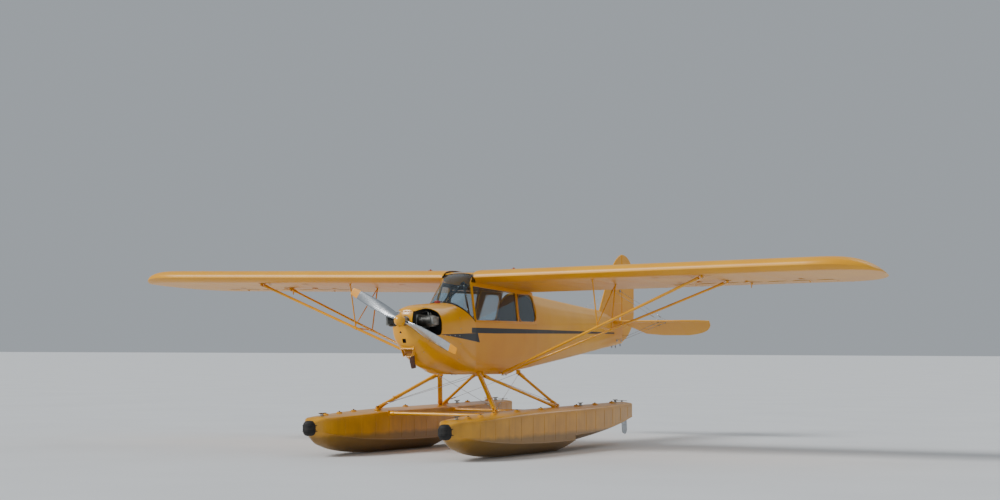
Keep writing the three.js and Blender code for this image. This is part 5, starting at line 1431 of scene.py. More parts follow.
rim = turned([(0.076, 0.0722), (0.076, 0.0735), (0.0835, 0.0735), (0.0835, 0.0722)], cap_tip, (0, 1, 0), 56)
make_piece("spinner_cap", joined(cap, rim), sheet_enamel, body="propeller",
           instead_of=["spinner"], crease=50)

# %% [markdown]
# Ahead of the windshield stands the fuel cap. A wire runs through it from a cork float in the tank,
# and the height of its bent tip is the fuel gauge.
# %% Fuel cap and its gauge wire
FILLER = -0.505
filler_z = resample(NOSE_ROWS, [FILLER])[0][3]
cap_body = turned([(-0.004, 0.036), (0.006, 0.036), (0.008, 0.034), (0.024, 0.034), (0.029, 0.031),
                   (0.030, 0.010),
                   (0.034, 0.006), (0.034, 1e-5)], P(0, FILLER, filler_z), UP, 40)
grips = [turned([(0.008, 3 * MM), (0.024, 3 * MM), (0.026, 1e-5)],
                P(cos(t) * 0.034, FILLER + sin(t) * 0.034, filler_z), UP, 8) for t in circle(24)]
gauge = tube([P(x, FILLER, z) for x, z in ((0, filler_z + 0.03), (0, 2.005), (0.006, 2.010), (0.02, 2.010))],
             2 * MM, 8)
make_piece("fuel_cap_ribbed", joined(cap_body, *grips), red_enamel, instead_of=["fuel_cap"])
make_piece("fuel_gauge_wire", gauge, stainless_wire)
print("propeller and cap made:", len(PIECES), "pieces")

# %% [markdown]
# # Floats
# A float is a riveted aluminium hull with a V bottom, hard chines, a slightly crowned deck and a
# step at about the middle. The fore hull and the after hull are two skins through sections that
# follow the solid model's tables. Along the edges run extruded beads; half-round stiffeners and
# rivet rows mark the frames, 300 mm apart.
# %% Hull sections
FLOAT_X, BEAM_HALF, BOW, STEP, STERN = 0.945, 0.292, -1.912, 0.900, 2.925
CROWN, KEEL_HALF, EDGE_ROUND = 0.014, 0.016, 0.024
# Columns: station, deck, half width, chine, keel.
FORE_ROWS = [
    (BOW, 0.425, 0.062, 0.335, 0.268), (-1.830, 0.455, 0.122, 0.300, 0.190),
    (-1.620, 0.470, 0.196, 0.255, 0.108),
    (-1.250, 0.486, 0.254, 0.206, 0.040), (-0.760, 0.508, 0.284, 0.172, 0.006),
    (-0.150, 0.524, BEAM_HALF, 0.150, 0),
    (STEP, 0.536, BEAM_HALF, 0.140, 0)]
AFTER_ROWS = [
    (STEP, 0.536, BEAM_HALF, 0.205, 0.078), (1.700, 0.546, 0.272, 0.238, 0.140),
    (2.400, 0.556, 0.226, 0.300, 0.222), (STERN, 0.564, 0.172, 0.376, 0.318)]


def hull_row(s):
    """The section table's row at a station, of the fore hull or the after hull."""
    return resample(FORE_ROWS if s <= STEP else AFTER_ROWS, [s])[0]


def half_section(row):
    """(x, z) from the keel out over the chine, up the side and over the deck to its crown."""
    _, deck, half, chine, keel = row
    hollow = 0.010 * min(1, half / 0.2)
    bottom = [(KEEL_HALF + (half - KEEL_HALF) * f, keel + (chine - keel) * f - hollow * sin(pi * f))
              for f in even(0, 1, 7)]
    side = [(half, chine + (deck - EDGE_ROUND - chine) * f) for f in (0.03, 0.35, 0.7, 1.0)]
    corner = [(half - EDGE_ROUND * (1 - cos(t)), deck - EDGE_ROUND * (1 - sin(t)))
              for t in even(0.3, pi / 2, 5)]
    top = [((half - EDGE_ROUND) * f, deck + CROWN * (1 - f ** 2)) for f in (0.75, 0.5, 0.25)]
    return bottom + side + corner + top


def hull_ring(row):
    right = half_section(row)
    left = [(-x, z) for x, z in right][::-1]
    return [P(x + FLOAT_X, row[0], z) for x, z in right + [(0, row[1] + CROWN)] + left]


hull = joined(*[skin([hull_ring(row) for row in resample(rows, stations)]) for rows, stations in (
    (FORE_ROWS, even(BOW, -1.62, 10) + even(-1.57, STEP, 34)), (AFTER_ROWS, even(STEP + 0.0002, STERN, 26)))])


def along_hull(stations, place, radius):
    """A bead along both edges of the hull, through the (x, z) that place gives for each section."""
    spots = [(s, *place(hull_row(s))) for s in stations]
    return joined(*[tube([P(FLOAT_X + side * x, s, z) for s, x, z in spots], radius, 8) for side in (1, -1)])


edge_run = even(-1.88, STERN - 0.004, 60)
gunwale = along_hull(edge_run, lambda r: (r[2] - 2 * MM, r[1] - 20 * MM), 5 * MM)
chines = joined(along_hull(even(-1.78, STEP - 0.004, 34), lambda r: (r[2] + 1 * MM, r[3] + 2 * MM), 6 * MM),
                along_hull(even(STEP + 0.004, STERN - 0.004, 24), lambda r: (r[2], r[3] + 2 * MM), 5 * MM))
keels = [skin([[P(FLOAT_X + x, s, hull_row(s)[4] + z) for x, z in (
    (-0.021, 0.0005), (0.021, 0.0005), (0.021, 0.016), (-0.021, 0.016))] for s in run])
         for run in (even(-1.84, STEP - 0.002, 30), even(STEP + 0.002, STERN - 0.002, 20))]

# %% Frames, stiffeners and rivets
FIRST_FRAME, FRAME_PITCH = -1.62, 0.30
stiffeners, hull_rivets = [], []
for s in (FIRST_FRAME + FRAME_PITCH * k for k in range(15)):
    row, between_row = hull_row(s), hull_row(s + FRAME_PITCH / 2)
    for side in (1, -1):
        ends = [P(FLOAT_X + side * (between_row[2] + 0.2 * MM), s + FRAME_PITCH / 2, z)
                for z in (between_row[3] + 0.03, between_row[1] - 0.045)]
        stiffeners.append(tube(ends, 6 * MM, 8, 0.45, up=Vector((1, 0, 0))))
        hull_rivets += [(P(FLOAT_X + side * row[2], s, z), (side, 0, 0))
                        for z in even(row[3] + 0.03, row[1] - 0.04, 9)]
        hull_rivets += [(P(FLOAT_X + side * (row[2] - 0.03) * f, s, row[1] + CROWN * (1 - f ** 2)), (0, 0, 1))
                        for f in even(0.1, 0.98, 8)]
for s in even(-1.84, STERN - 0.03, 118):
    row = hull_row(s)
    for side in (1, -1):
        hull_rivets.append((P(FLOAT_X + side * row[2], s, row[1] - 0.034), (side, 0, 0)))
        hull_rivets.append((P(FLOAT_X + side * (row[2] - 0.040), s, row[1] + 1.6 * MM), (0, 0, 1)))
        if row[1] - row[3] > 0.12:
            hull_rivets.append((P(FLOAT_X + side * row[2], s, row[3] + 0.018), (side, 0, 0)))
transom = [(P(FLOAT_X + x, STERN, z), (0, 1, 0)) for z in even(0.385, 0.545, 6) for x in (-0.15, 0.15)]
transom += [(P(FLOAT_X + x, STERN, 0.55), (0, 1, 0)) for x in even(-0.12, 0.12, 7)]

# %% Deck hardware
# Columns: station, offset from the float's middle.
CAPS = [(-1.480, 0.060), (-1.180, 0.060), (-0.860, 0.060), (-0.260, 0.060), (0.380, 0.060), (1.420, 0.050),
        (2.000, 0.040), (2.560, 0.030)]
caps, plugs = [], []
for s, dx in CAPS:
    z = hull_row(s)[1] + CROWN - 2 * MM
    caps.append(turned([(0, 0.047), (3 * MM, 0.047), (4 * MM, 0.044), (5 * MM, 0.036), (0.015, 0.0345),
                        (0.019, 0.031), (0.021, 0.024), (0.0205, 0.012),
                        (0.0205, 1e-5)], P(FLOAT_X + dx, s, z), UP, 32))
    plugs.append(turned([(0.018, 0.010), (0.026, 0.011), (0.030, 0.007), (0.031, 1e-5)],
                        P(FLOAT_X + dx, s, z), UP, 16))
    hull_rivets += [(P(FLOAT_X + dx + cos(t) * 0.041, s + sin(t) * 0.041, z + 3 * MM), UP) for t in circle(8)]


def cleat(s):
    """A two-horned cleat along the float, on two feet."""
    z = hull_row(s)[1] + CROWN
    base = pad(P(FLOAT_X, s, z), (-0.016, -0.042, -4 * MM), (0.016, 0.042, 5 * MM), 3 * MM)
    feet = [tube([P(FLOAT_X, s + d, z), P(FLOAT_X, s + d * 0.8, z + 0.03)], [9 * MM, 7 * MM], 12)
            for d in (-0.022, 0.022)]
    spread = even(-1, 1, 13)
    horn = tube([P(FLOAT_X, s + 0.075 * f, z + 0.032 + 0.006 * f ** 2) for f in spread],
                [(9 - 5 * f ** 2) * MM for f in spread], 12)
    return joined(base, *feet, horn)


cleats = joined(*(cleat(s) for s in (-1.65, 1.64, 2.74)))


BUMPER_Z = 0.345


def bumper():
    """A moulded rubber nose with flutes, round the float's bow."""
    rings = []
    for t in even(-pi / 2 + 0.06, pi / 2 - 0.06, 33):
        wide = cos(t) ** 0.55 * (1 - 0.035 * (0.5 + 0.5 * cos(t * 14)))
        rings.append([P(FLOAT_X + 0.082 * wide * cos(a), BOW + 0.087 * wide * sin(a),
                        BUMPER_Z + 0.092 * sin(t))
                      for a in circle(36)])
    return skin(rings)


straps = [tube([P(FLOAT_X + x, s, z + BUMPER_Z) for x, s, z in (
    (side * 0.088, -1.845, dz), (side * 0.082, -1.925, dz), (side * 0.05, -1.985, dz),
    (0, -1.998, dz))], 4 * MM, 8)
    for side in (1, -1) for dz in (-0.035, 0.035)]
make_pair("float_hull", joined(hull, gunwale, chines, *keels, *stiffeners), hull_enamel, instead_of="float",
          crease=40)
make_pair("float_rivets", rivets(hull_rivets + transom), hull_enamel)
make_pair("float_caps", joined(*caps), sheet_enamel)
make_pair("float_plugs", joined(*plugs), rubber)
make_pair("float_cleats", cleats, cast_aluminium)
make_pair("bow_bumper", joined(bumper(), *straps), rubber, instead_of="bumper")
print("hull faces", len(hull[1]), "rivets", len(hull_rivets) + len(transom))

# %% [markdown]
# # Float gear
# Streamlined steel tubes carry the aeroplane on its floats. Each ends in a forked fitting that grips
# a lug with one bolt. Two spreader bars hold the floats apart, and crossed steel wires with
# turnbuckles keep each bay square.
# %% Fittings
BODY_FRONT, BODY_REAR = (0.322, 0.066, 0.968), (0.322, 1.080, 0.985)
DECK_FRONT, DECK_REAR = (FLOAT_X - 0.092, -0.540, 0.552), (FLOAT_X - 0.084, 1.085, 0.568)
GEAR_STEP = 0.046


def bolt_through(centre, axis, length, radius=5 * MM):
    """A bolt with its head at one end and a nut at the other."""
    axis = Vector(axis).normalized()
    start = Vector(centre) - axis * length / 2
    shank = turned([(0, radius), (length, radius), (length, 1e-5)], start, axis, 12)
    head = turned([(-0.006, 1e-5), (-0.006, radius * 1.75), (0, radius * 1.75)], start, axis, 6)
    nut = turned([(length - 0.012, radius * 1.75), (length - 0.004, radius * 1.75), (length - 0.004, radius)],
                 start, axis, 6)
    return joined(shank, head, nut)


def fork(end, toward, width, reach=0.085):
    """Two cheek plates that wrap the strut's end and hold the lug between them."""
    along = (toward - end).normalized()
    aft, side = aft_and_side(along)
    outline = [(-0.018, -0.5), (-0.024, 0), (-0.018, 0.5), (reach * 0.6, 0.62), (reach, 0.3), (reach, -0.3),
               (reach * 0.6, -0.62)]
    cheeks = [skin([[end + along * a + aft * (b * width) + side * s * t for a, b in outline]
                    for t in (0.014, 0.019)])
              for s in (1, -1)]
    return joined(*cheeks), bolt_through(end, side, 0.052)


def gear_strut(deck, body, chord, thick):
    """(tube, fittings, bolts) of one strut from the float's deck to the body."""
    along = (body - deck).normalized()
    shank = strut(deck + along * 0.02, body - along * 0.02, chord, thick, 24, 12)
    low_fork, low_bolt = fork(deck, body, chord * 0.55)
    high_fork, high_bolt = fork(body, deck, chord * 0.55)
    cuffs = [strut(deck + along * far, deck + along * (far + 0.03), chord + 5 * MM, thick + 5 * MM, 24)
             for far in (0.075, (body - deck).length - 0.105)]
    lugs = [pad(deck, (-0.009, -0.03, -0.045), (0.009, 0.03, 0.012), 5 * MM),
            pad(deck, (-0.03, -0.045, -0.024), (0.03, 0.045, -0.014), 4 * MM),
            pad(body, (-0.04, -0.02, -0.012), (0.01, 0.02, 0.045), 5 * MM)]
    return shank, joined(low_fork, high_fork, *cuffs, *lugs), joined(low_bolt, high_bolt)


def shifted(p, step):
    return p[0], p[1] + step, p[2]


# Columns: solid, deck end, body end, chord, thickness.
GEAR = [
    ("front", DECK_FRONT, shifted(BODY_FRONT, -GEAR_STEP), 0.084, 0.036),
    ("diagonal", shifted(DECK_REAR, -GEAR_STEP), shifted(BODY_FRONT, GEAR_STEP), 0.070, 0.032),
    ("rear", shifted(DECK_REAR, GEAR_STEP), BODY_REAR, 0.070, 0.032),
]
bolts = []
for name, deck, body, chord, thick in GEAR:
    deck, body = P(*deck), P(*body)
    shank, fittings, pins = gear_strut(deck, body, chord, thick)
    bolts.append(pins)
    step_pad = []
    if name == "front":
        step_pad = [pad(deck.lerp(body, 0.36), (-0.03, -0.085, -0.006), (0.045, 0.03, 0.004), 3 * MM),
                    strut(deck.lerp(body, 0.31), deck.lerp(body, 0.38), chord + 6 * MM, thick + 6 * MM, 24)]
    make_pair(f"gear_{name}", joined(shank, fittings, *step_pad), tube_enamel,
              instead_of=f"float_strut_{name}")
make_piece("gear_bolts", joined(*bolts, *(mirrored(b) for b in bolts)), stainless_wire)

SPREADER_Z = 0.492
SPREADER_HALF = FLOAT_X - BEAM_HALF + 0.004
for name, s in (("front", DECK_FRONT[1]), ("rear", DECK_REAR[1])):
    middle, end = P(0, s, SPREADER_Z), P(SPREADER_HALF, s, SPREADER_Z)
    bar = strut(P(-SPREADER_HALF, s, SPREADER_Z), end, 0.092, 0.040, 28, 10)
    sleeve = strut(end - Vector((0.07, 0, 0)), end - Vector((0.002, 0, 0)), 0.100, 0.048, 28)
    flange = pad(end, (-0.006, -0.07, -0.034), (0.001, 0.07, 0.034), 2 * MM, 1)
    heads = rivets([(end + Vector((-0.006, dy, dz)), (-1, 0, 0)) for dy in (-0.058, 0.058)
                    for dz in (-0.024, 0.024)],
                   5 * MM, 4 * MM)
    half = joined(sleeve, flange, heads)
    make_piece(f"spreader_bar_{name}", joined(bar, half, mirrored(half)), tube_enamel,
               instead_of=[f"spreader_{name}"])

# %% Bracing wires of the gear
def braced(start, end, radius=2.4 * MM, barrel_at=0.12):
    """A taut wire with a turnbuckle part of the way along it and a small fork at either end."""
    along = (end - start).normalized()
    barrel = turned([(-0.045, 3 * MM), (-0.040, 6 * MM), (0.040, 6 * MM), (0.045, 3 * MM)],
                    start.lerp(end, barrel_at), along, 10)
    eyes = [turned([(-0.012, 5 * MM), (0.012, 5 * MM), (0.024, 3 * MM)], point, way, 8)
            for point, way in ((start, along), (end, -along))]
    return joined(tube([start, end], radius, 8), barrel, *eyes)


wires = []
for side in (1, -1):
    for _, deck, body, *_ in (GEAR[0], GEAR[2]):
        wires.append(braced(P(-side * (deck[0] - 0.02), deck[1], deck[2] + 0.03),
                            P(side * (body[0] - 0.03), body[1], body[2])))
    wires.append(braced(P(side * DECK_FRONT[0], DECK_FRONT[1] + 0.04, DECK_FRONT[2] + 0.03),
                        P(side * BODY_REAR[0], BODY_REAR[1] - 0.02, BODY_REAR[2] - 0.01)))
make_piece("gear_wires", joined(*wires), stainless_wire)
print("gear made:", len(PIECES), "pieces")

# %% [markdown]
# # Water rudders
# Each float's stern carries a small rudder on a post between two brackets. A tiller arm at the top
# takes the steering cables.
# %% Water rudders
WATER_HINGE, ARM_TOP = 2.958, 0.596
# Columns: distance aft of the hinge, height.
BLADE_LINE = [(-0.010, 0.478), (0.026, 0.478), (0.034, 0.420), (0.150, 0.380), (0.175, 0.170), (0.120, 0.120),
              (0.008, 0.150), (-0.010, 0.330)]
CHEEK_LINE = [(-0.012, 0.33), (0.045, 0.31), (0.028, 0.47), (-0.012, 0.48)]


def rounded_outline(points, radius, steps=5):
    """The outline with its corners rounded off."""
    made, count = [], len(points)
    for k in range(count):
        before, here, after = (Vector((*points[(k + d) % count], 0)) for d in (-1, 0, 1))
        run = min(radius, (before - here).length * 0.45, (after - here).length * 0.45)
        start, end = here + (before - here).normalized() * run, here + (after - here).normalized() * run
        for t in even(0, 1, steps):
            made.append(tuple(((1 - t) ** 2 * start + 2 * t * (1 - t) * here + t ** 2 * end)[:2]))
    return made


rudder_plates = [side_plate([(WATER_HINGE + s, z) for s, z in rounded_outline(line, radius)], FLOAT_X + low,
                            FLOAT_X + high)
                 for line, radius, low,
                 high in ((BLADE_LINE, 0.03, -2 * MM, 2 * MM), (CHEEK_LINE, 0.01, -5 * MM, -2 * MM),
                                                 (CHEEK_LINE, 0.01, 2 * MM, 5 * MM))]
swages = [tube([P(FLOAT_X + side * 2 * MM, WATER_HINGE + s, z) for s, z in ((0.02, top), (end, top - 0.012))],
               6 * MM, 8, 0.6) for side in (1, -1) for end, top in ((0.14, 0.34), (0.15, 0.27), (0.14, 0.20))]
post = turned([(0, 1e-5), (0, 0.014), (0.296, 0.014), (0.3, 0.010), (0.3, 1e-5)],
              P(FLOAT_X, WATER_HINGE, 0.300), UP, 24)
arm = pad(P(FLOAT_X, WATER_HINGE, ARM_TOP), (-0.075, -0.012, -0.006), (0.075, 0.012, 0), 2 * MM)
blade_rivets = rivets([(P(FLOAT_X + side * 5 * MM, WATER_HINGE + 0.012, z), (side, 0, 0)) for side in (1, -1)
                       for z in even(0.345, 0.465, 5)])
arm_bolts = rivets([(P(FLOAT_X + x, WATER_HINGE, ARM_TOP), UP) for x in (-0.065, 0.065)], 5 * MM, 4 * MM, 8)
brackets = []
for z in (0.545, 0.500):
    tongue = plate([(FLOAT_X + x, at(s)) for x, s in (
        (-0.03, STERN - 0.002), (0.03, STERN - 0.002), (0.02, WATER_HINGE + 0.02),
        (-0.02, WATER_HINGE + 0.02))],
        z - 3 * MM, z + 3 * MM, axis=2)
    post_hole = turned([(-0.01, 0.0158), (0.01, 0.0158)], P(FLOAT_X, WATER_HINGE, z), UP, 24)
    brackets.append(combined(tongue, [post_hole]))
    brackets.append(pad(P(FLOAT_X, STERN, z), (-0.035, -0.001, -0.02), (0.035, 0.003, 0.02), 1 * MM, 1))
make_pair("water_rudder_blade", joined(*rudder_plates, *swages, post, arm, blade_rivets, arm_bolts),
          rolled_aluminium,
          "water_rudder", "water_rudder")
make_pair("water_rudder_brackets", joined(*brackets), rolled_aluminium)
print("water rudders made")

# %% [markdown]
# # Lift struts
# On each side a front and a rear streamlined strut run from one fitting at the belly's corner to the
# wing spars. Slender jury struts steady them a little past the middle.
# %% Lift struts and jury struts
STRUT_FOOT_X, STRUT_FOOT_Z, STRUT_HEAD_X, JURY_X = 0.372, 0.992, 3.250, 1.795


# Columns: station of the foot, place of the head, chord, thickness.
LIFT_STRUTS = [(0.520, (STRUT_HEAD_X, FRONT_SPAR), 0.074, 0.032),
               (0.604, (STRUT_HEAD_X + 0.04, REAR_SPAR), 0.062, 0.028)]
shapes, pins, jury_feet = [], [], []
for foot_at, head_at, chord, thick in LIFT_STRUTS:
    foot, head = P(STRUT_FOOT_X, foot_at, STRUT_FOOT_Z), under_wing(*head_at, 0.012)
    along = (head - foot).normalized()
    shapes.append(strut(foot + along * 0.03, head - along * 0.05, chord, thick, 28, 16))
    for end, other in ((foot, head), (head, foot)):
        plates, pin = fork(end, other, chord * 0.5, 0.11)
        pins.append(pin)
        way = (other - end).normalized()
        shapes += [plates, strut(end + way * 0.085, end + way * 0.125, chord + 5 * MM, thick + 5 * MM, 28)]
    top = under_wing(*head_at, 1.5 * MM)
    shapes += [pad(foot, (-0.05, -0.018, -0.010), (0.012, 0.018, 0.010), 5 * MM),
               pad(top, (-0.035, -0.05, -0.002), (0.035, 0.05, 0.001), 1 * MM, 1),
               pad(top, (-0.012, -0.022, -0.03), (0.012, 0.022, 0.0), 4 * MM)]
    jury_foot = foot.lerp(head, (JURY_X - foot.x) / (head.x - foot.x))
    jury_feet.append(jury_foot)
    shapes.append(strut(jury_foot - along * 0.028, jury_foot + along * 0.028, chord + 6 * MM, thick + 6 * MM,
                        28))
jury_front, jury_rear = jury_feet
tops = [under_wing(JURY_X, FRONT_SPAR, 2 * MM), under_wing(JURY_X, REAR_SPAR - 0.07, 2 * MM)]
for low, high, radius in ((jury_front, tops[0], 9 * MM), (jury_rear, tops[1], 9 * MM),
                          (jury_front, jury_rear, 9 * MM),
                          (jury_front + UP * 0.04, tops[1] - Vector((0, 0.008, 0.012)), 7 * MM)):
    shapes.append(tube([low.lerp(high, f) for f in (0, 0.04, 0.08, 0.92, 0.96, 1)],
                       [radius * share for share in (0.7, 0.75, 1, 1, 0.75, 0.7)], 14))
for top in tops:
    shapes += [pad(top, (-0.02, -0.03, -0.001), (0.02, 0.03, 0.0015), 1 * MM, 1),
               tube([top - UP * 0.03, top], 11 * MM, 12)]
make_pair("lift_strut_pair", joined(*shapes), tube_enamel, instead_of="lift_struts")
make_piece("lift_strut_bolts", joined(*pins, *(mirrored(p) for p in pins)), stainless_wire)
print("lift struts made")

# %% [markdown]
# # Windshield and windows
# The windshield is one sheet of acrylic, bent round the cabin's front from sill to sill and drawn in
# towards the roof. Painted strips clamp its edges, and a rubber seal lies along its base.
# %% Windshield
# Columns: row, middle station, middle height, side half width, side station, side height.
SHIELD_LEVELS = [
    (0, SHIELD_FRONT, 1.890, 0.324, SHIELD_SIDE, SILL_Z + 0.006), (1, -0.328, 2.020, 0.279, -0.092, 1.850),
    (2, -0.192, 2.140, 0.243, -0.068, 2.020), (3, -0.068, 2.222, 0.218, -0.049, 2.152),
    (4, 0.048, 2.268, 0.216, -0.006, 2.215)]
SHIELD_SPREAD = radians(80)


def shield_point(level, share, inset=0.0):
    """A point of the windshield: level from 0 at its base to 4, share from -1 starboard to 1 port."""
    _, mid_s, mid_z, half, side_s, side_z = resample(SHIELD_LEVELS, [level])[0]
    angle = share * SHIELD_SPREAD
    edge = cos(SHIELD_SPREAD) ** 0.8
    middle = (cos(angle) ** 0.8 - edge) / (1 - edge)
    across = (abs(sin(angle)) / sin(SHIELD_SPREAD)) ** 0.8 * (1 if angle >= 0 else -1)
    return P(across * (half - inset), side_s + (mid_s + inset - side_s) * middle,
             side_z + (mid_z - inset - side_z) * middle)


# The shares crowd towards the middle, where across changes fastest.
shares = [(abs(f) ** 1.25) * (1 if f >= 0 else -1) for f in even(-1, 1, 49)]
sheet_rings = [[shield_point(v, f) for f in shares] + [shield_point(v, f, 3 * MM) for f in shares[::-1]]
               for v in even(0, 4, 25)]
make_piece("windshield_sheet", skin(sheet_rings), acrylic, instead_of=["windshield"], crease=50)


def ribbon(path, width_ways, outs, thick, sink=1 * MM):
    """A flat strip along a path: at each point a half-width vector and an outward vector."""
    return skin([[p - w - o * sink, p + w - o * sink, p + w + o * thick, p - w + o * thick]
                 for p, w, o in zip(path, width_ways, outs)])


def shield_frame(level, share, step=0.02):
    """(point, way up the sheet, way across it, outward)."""
    share = max(-0.999, min(0.999, share))
    here = shield_point(level, share)
    lift = (shield_point(min(4, level + step), share) - shield_point(max(0, level - step),
                                                                     share)).normalized()
    over = (shield_point(level, min(1, share + step)) - shield_point(level,
                                                                     max(-1, share - step))).normalized()
    out = over.cross(lift).normalized()
    out = out if out.y < 0 or (abs(out.y) < 0.2 and out.x * here.x > 0) else -out
    return here, lift, over, out


def shield_strip(places, width, way, thick):
    """A strip over the sheet, as wide as width along the frame's direction number way."""
    frames = [shield_frame(v, f) for v, f in places]
    return ribbon([each[0] for each in frames], [each[way] * width for each in frames],
                  [each[3] for each in frames], thick)


LIFT, OVER = 1, 2
BASE_LEVEL, TOP_LEVEL, SIDE_SHARE = 0.03, 3.96, 0.992
base_strip = shield_strip([(BASE_LEVEL, f) for f in shares], 0.010, LIFT, 3 * MM)
top_strip = shield_strip([(TOP_LEVEL, f) for f in shares], 0.012, LIFT, 2 * MM)
side_strips = [shield_strip([(v, side * SIDE_SHARE) for v in even(0, 3.9, 30)], 0.009, OVER, 2 * MM)
               for side in (1, -1)]
make_piece("windshield_seal", joined(base_strip, top_strip), rubber, crease=60)
make_piece("windshield_side_strips", joined(*side_strips), sheet_enamel, crease=60)
screw_places = [(BASE_LEVEL, f, 3 * MM) for f in shares[2:-2:3]]
screw_places += [(v, side * SIDE_SHARE, 2 * MM) for side in (1, -1) for v in even(0.2, 3.7, 12)]
screws = [(here + out * rise, out) for rise, (here, _, _, out) in (
    (rise, shield_frame(v, f)) for v, f, rise in screw_places)]
make_piece("windshield_screws", rivets(screws, 3.2 * MM, 1.4 * MM, 8), stainless_wire)

# %% Window trims
CABIN_HALF, FRAME_TOP_X, DOOR_SPLIT = 0.332, 0.222, SILL_Z + 0.004
INNER_FACE = -0.024
WINDOW_LOW = SILL_Z + 0.022
POST_FRONT, POST_BACK, POST_LEAN = 1.032, 1.070, 0.074


def frame_x(z):
    """Distance to port of the leaning upper side frame's outer face."""
    return CABIN_HALF - (CABIN_HALF - FRAME_TOP_X) * (z - SILL_Z) / 0.5


LEAN = Vector((0.5, 0, CABIN_HALF - FRAME_TOP_X)).normalized()


def side_bead(outline, radius=5 * MM, out=0.0):
    """A half-round bead round an outline of (station, height) on the port side frame's face."""
    return tube([P(frame_x(z) + out, s, z) for s, z in outline + outline[:2]], radius, 10, 0.7)


front_window = rounded_outline([(-0.098, WINDOW_LOW), (POST_FRONT, WINDOW_LOW),
                                (POST_FRONT + POST_LEAN, 2.046),
                                (-0.032, 2.104)], 0.03, 6)
rear_window = rounded_outline([(POST_BACK, WINDOW_LOW), (1.578, WINDOW_LOW), (1.578, 2.035),
                               (POST_BACK + POST_LEAN, 2.035)], 0.10, 8)
quarter_window = rounded_outline([(-0.098, WINDOW_LOW), (0.179, WINDOW_LOW), (0.179, 2.093), (-0.032, 2.104)],
                                 0.025, 6)


def all_beads(radius, out):
    port = [side_bead(window, radius, out) for window in (front_window, rear_window)]
    starboard = [side_bead(window, radius, out) for window in (quarter_window, rear_window)]
    return joined(*port, *map(mirrored, starboard))


sill, sill_aft = (tube([P(CABIN_HALF + 0.5 * MM, s, SILL_Z - 0.002) for s in stations], 4 * MM, 10, 0.6)
                  for stations in (even(-0.115, 1.575, 20), even(1.02, 1.575, 8)))
make_piece("window_beads", joined(all_beads(5 * MM, 0.0), sill, mirrored(sill_aft)), sheet_enamel)
make_piece("window_inner_beads", all_beads(4 * MM, INNER_FACE), black_enamel)
bead_screws = []
for outline, sides in ((front_window, (1,)), (rear_window, (1, -1)), (quarter_window, (-1,))):
    run = [P(frame_x(z), s, z) for s, z in outline + outline[:1]]
    far, due = 0.0, 0.0
    for a, b in zip(run, run[1:]):
        far += (b - a).length
        if far >= due:
            due += 0.12
            out = b + LEAN * 3 * MM
            bead_screws += [(Vector((side * out.x, out.y, out.z)), (side * LEAN.x, 0, LEAN.z))
                            for side in sides]
make_piece("window_screws", rivets(bead_screws, 2.6 * MM, 1.2 * MM, 8), stainless_wire)
slide_knob = turned([(0, 0.010), (0.004, 0.010), (0.008, 0.007), (0.020, 0.009), (0.026, 0.006),
                     (0.026, 1e-5)],
                    P(frame_x(1.69), 0.47, 1.69) + LEAN * 1 * MM, LEAN, 16)
make_piece("window_slide_knob", slide_knob, cast_aluminium)

# %% Door edges, hinges and handles
DOOR_FRONT, DOOR_BACK, DOOR_LOW, DOOR_HIGH = 0.215, 1.000, 1.190, 2.062


def door_outline(margin, low, high, radius, steps):
    """A rounded outline that far inside the door's front and back edges."""
    front, back = DOOR_FRONT + margin, DOOR_BACK - margin
    return rounded_outline([(front, low), (back, low), (back, high), (front, high)], radius, steps)


RAIL, EDGE = 0.030, 8 * MM
pane_line = door_outline(RAIL, DOOR_SPLIT + EDGE + RAIL, DOOR_HIGH - RAIL, 0.02, 5)
edge_line = door_outline(EDGE, DOOR_SPLIT + 0.012, DOOR_HIGH - EDGE, 0.012, 4)
upper_beads = joined(side_bead(pane_line, 4 * MM), side_bead(pane_line, 3.5 * MM, INNER_FACE),
                     side_bead(edge_line, 3 * MM))
make_piece("door_upper_beads", mirrored(upper_beads), sheet_enamel, body="door_upper")
lower_line = door_outline(EDGE, DOOR_LOW + 0.010, DOOR_SPLIT - 0.012, 0.02, 6)
lower_bead = tube([P(CABIN_HALF + 0.3 * MM, s, z) for s, z in lower_line + lower_line[:2]], 3 * MM, 10, 0.7)
make_piece("door_lower_bead", mirrored(lower_bead), striped_fabric, body="door_lower",
           slot="painted_aluminium")
handle_base = P(-(CABIN_HALF + 1 * MM), 0.605, DOOR_SPLIT - 0.045)
boss = turned([(0, 0.014), (0.006, 0.014), (0.008, 0.008), (0.020, 0.008), (0.020, 1e-5)], handle_base,
              (-1, 0, 0), 20)
lever = tube([handle_base + Vector(step) for step in (
    (-0.018, -0.006, 0), (-0.020, 0.03, 0), (-0.018, 0.075, -0.002), (-0.016, 0.085, -0.002))],
    [6 * MM, 5.5 * MM, 5 * MM, 3 * MM], 12, 0.7)
make_piece("door_handle", joined(boss, lever), cast_aluminium, body="door_lower")


def knuckles(x, z, first):
    """Every other knuckle of a door's two small hinges."""
    return joined(*[turned([(0, 4.5 * MM), (0.012, 4.5 * MM), (0.012, 1e-5)], P(x, s + k * 0.013, z),
                           (0, 1, 0), 12)
                    for s in (0.34, 0.84) for k in range(first, 5, 2)])


for name, x, z in (("door_upper", -0.248, 2.066), ("door_lower", -0.336, 1.188)):
    make_piece(f"{name}_hinge_leaf", knuckles(x, z, 0), black_enamel, body=name)
    make_piece(f"{name}_hinge_seat", knuckles(x, z, 1), black_enamel)
print("windows and doors made:", len(PIECES), "pieces")

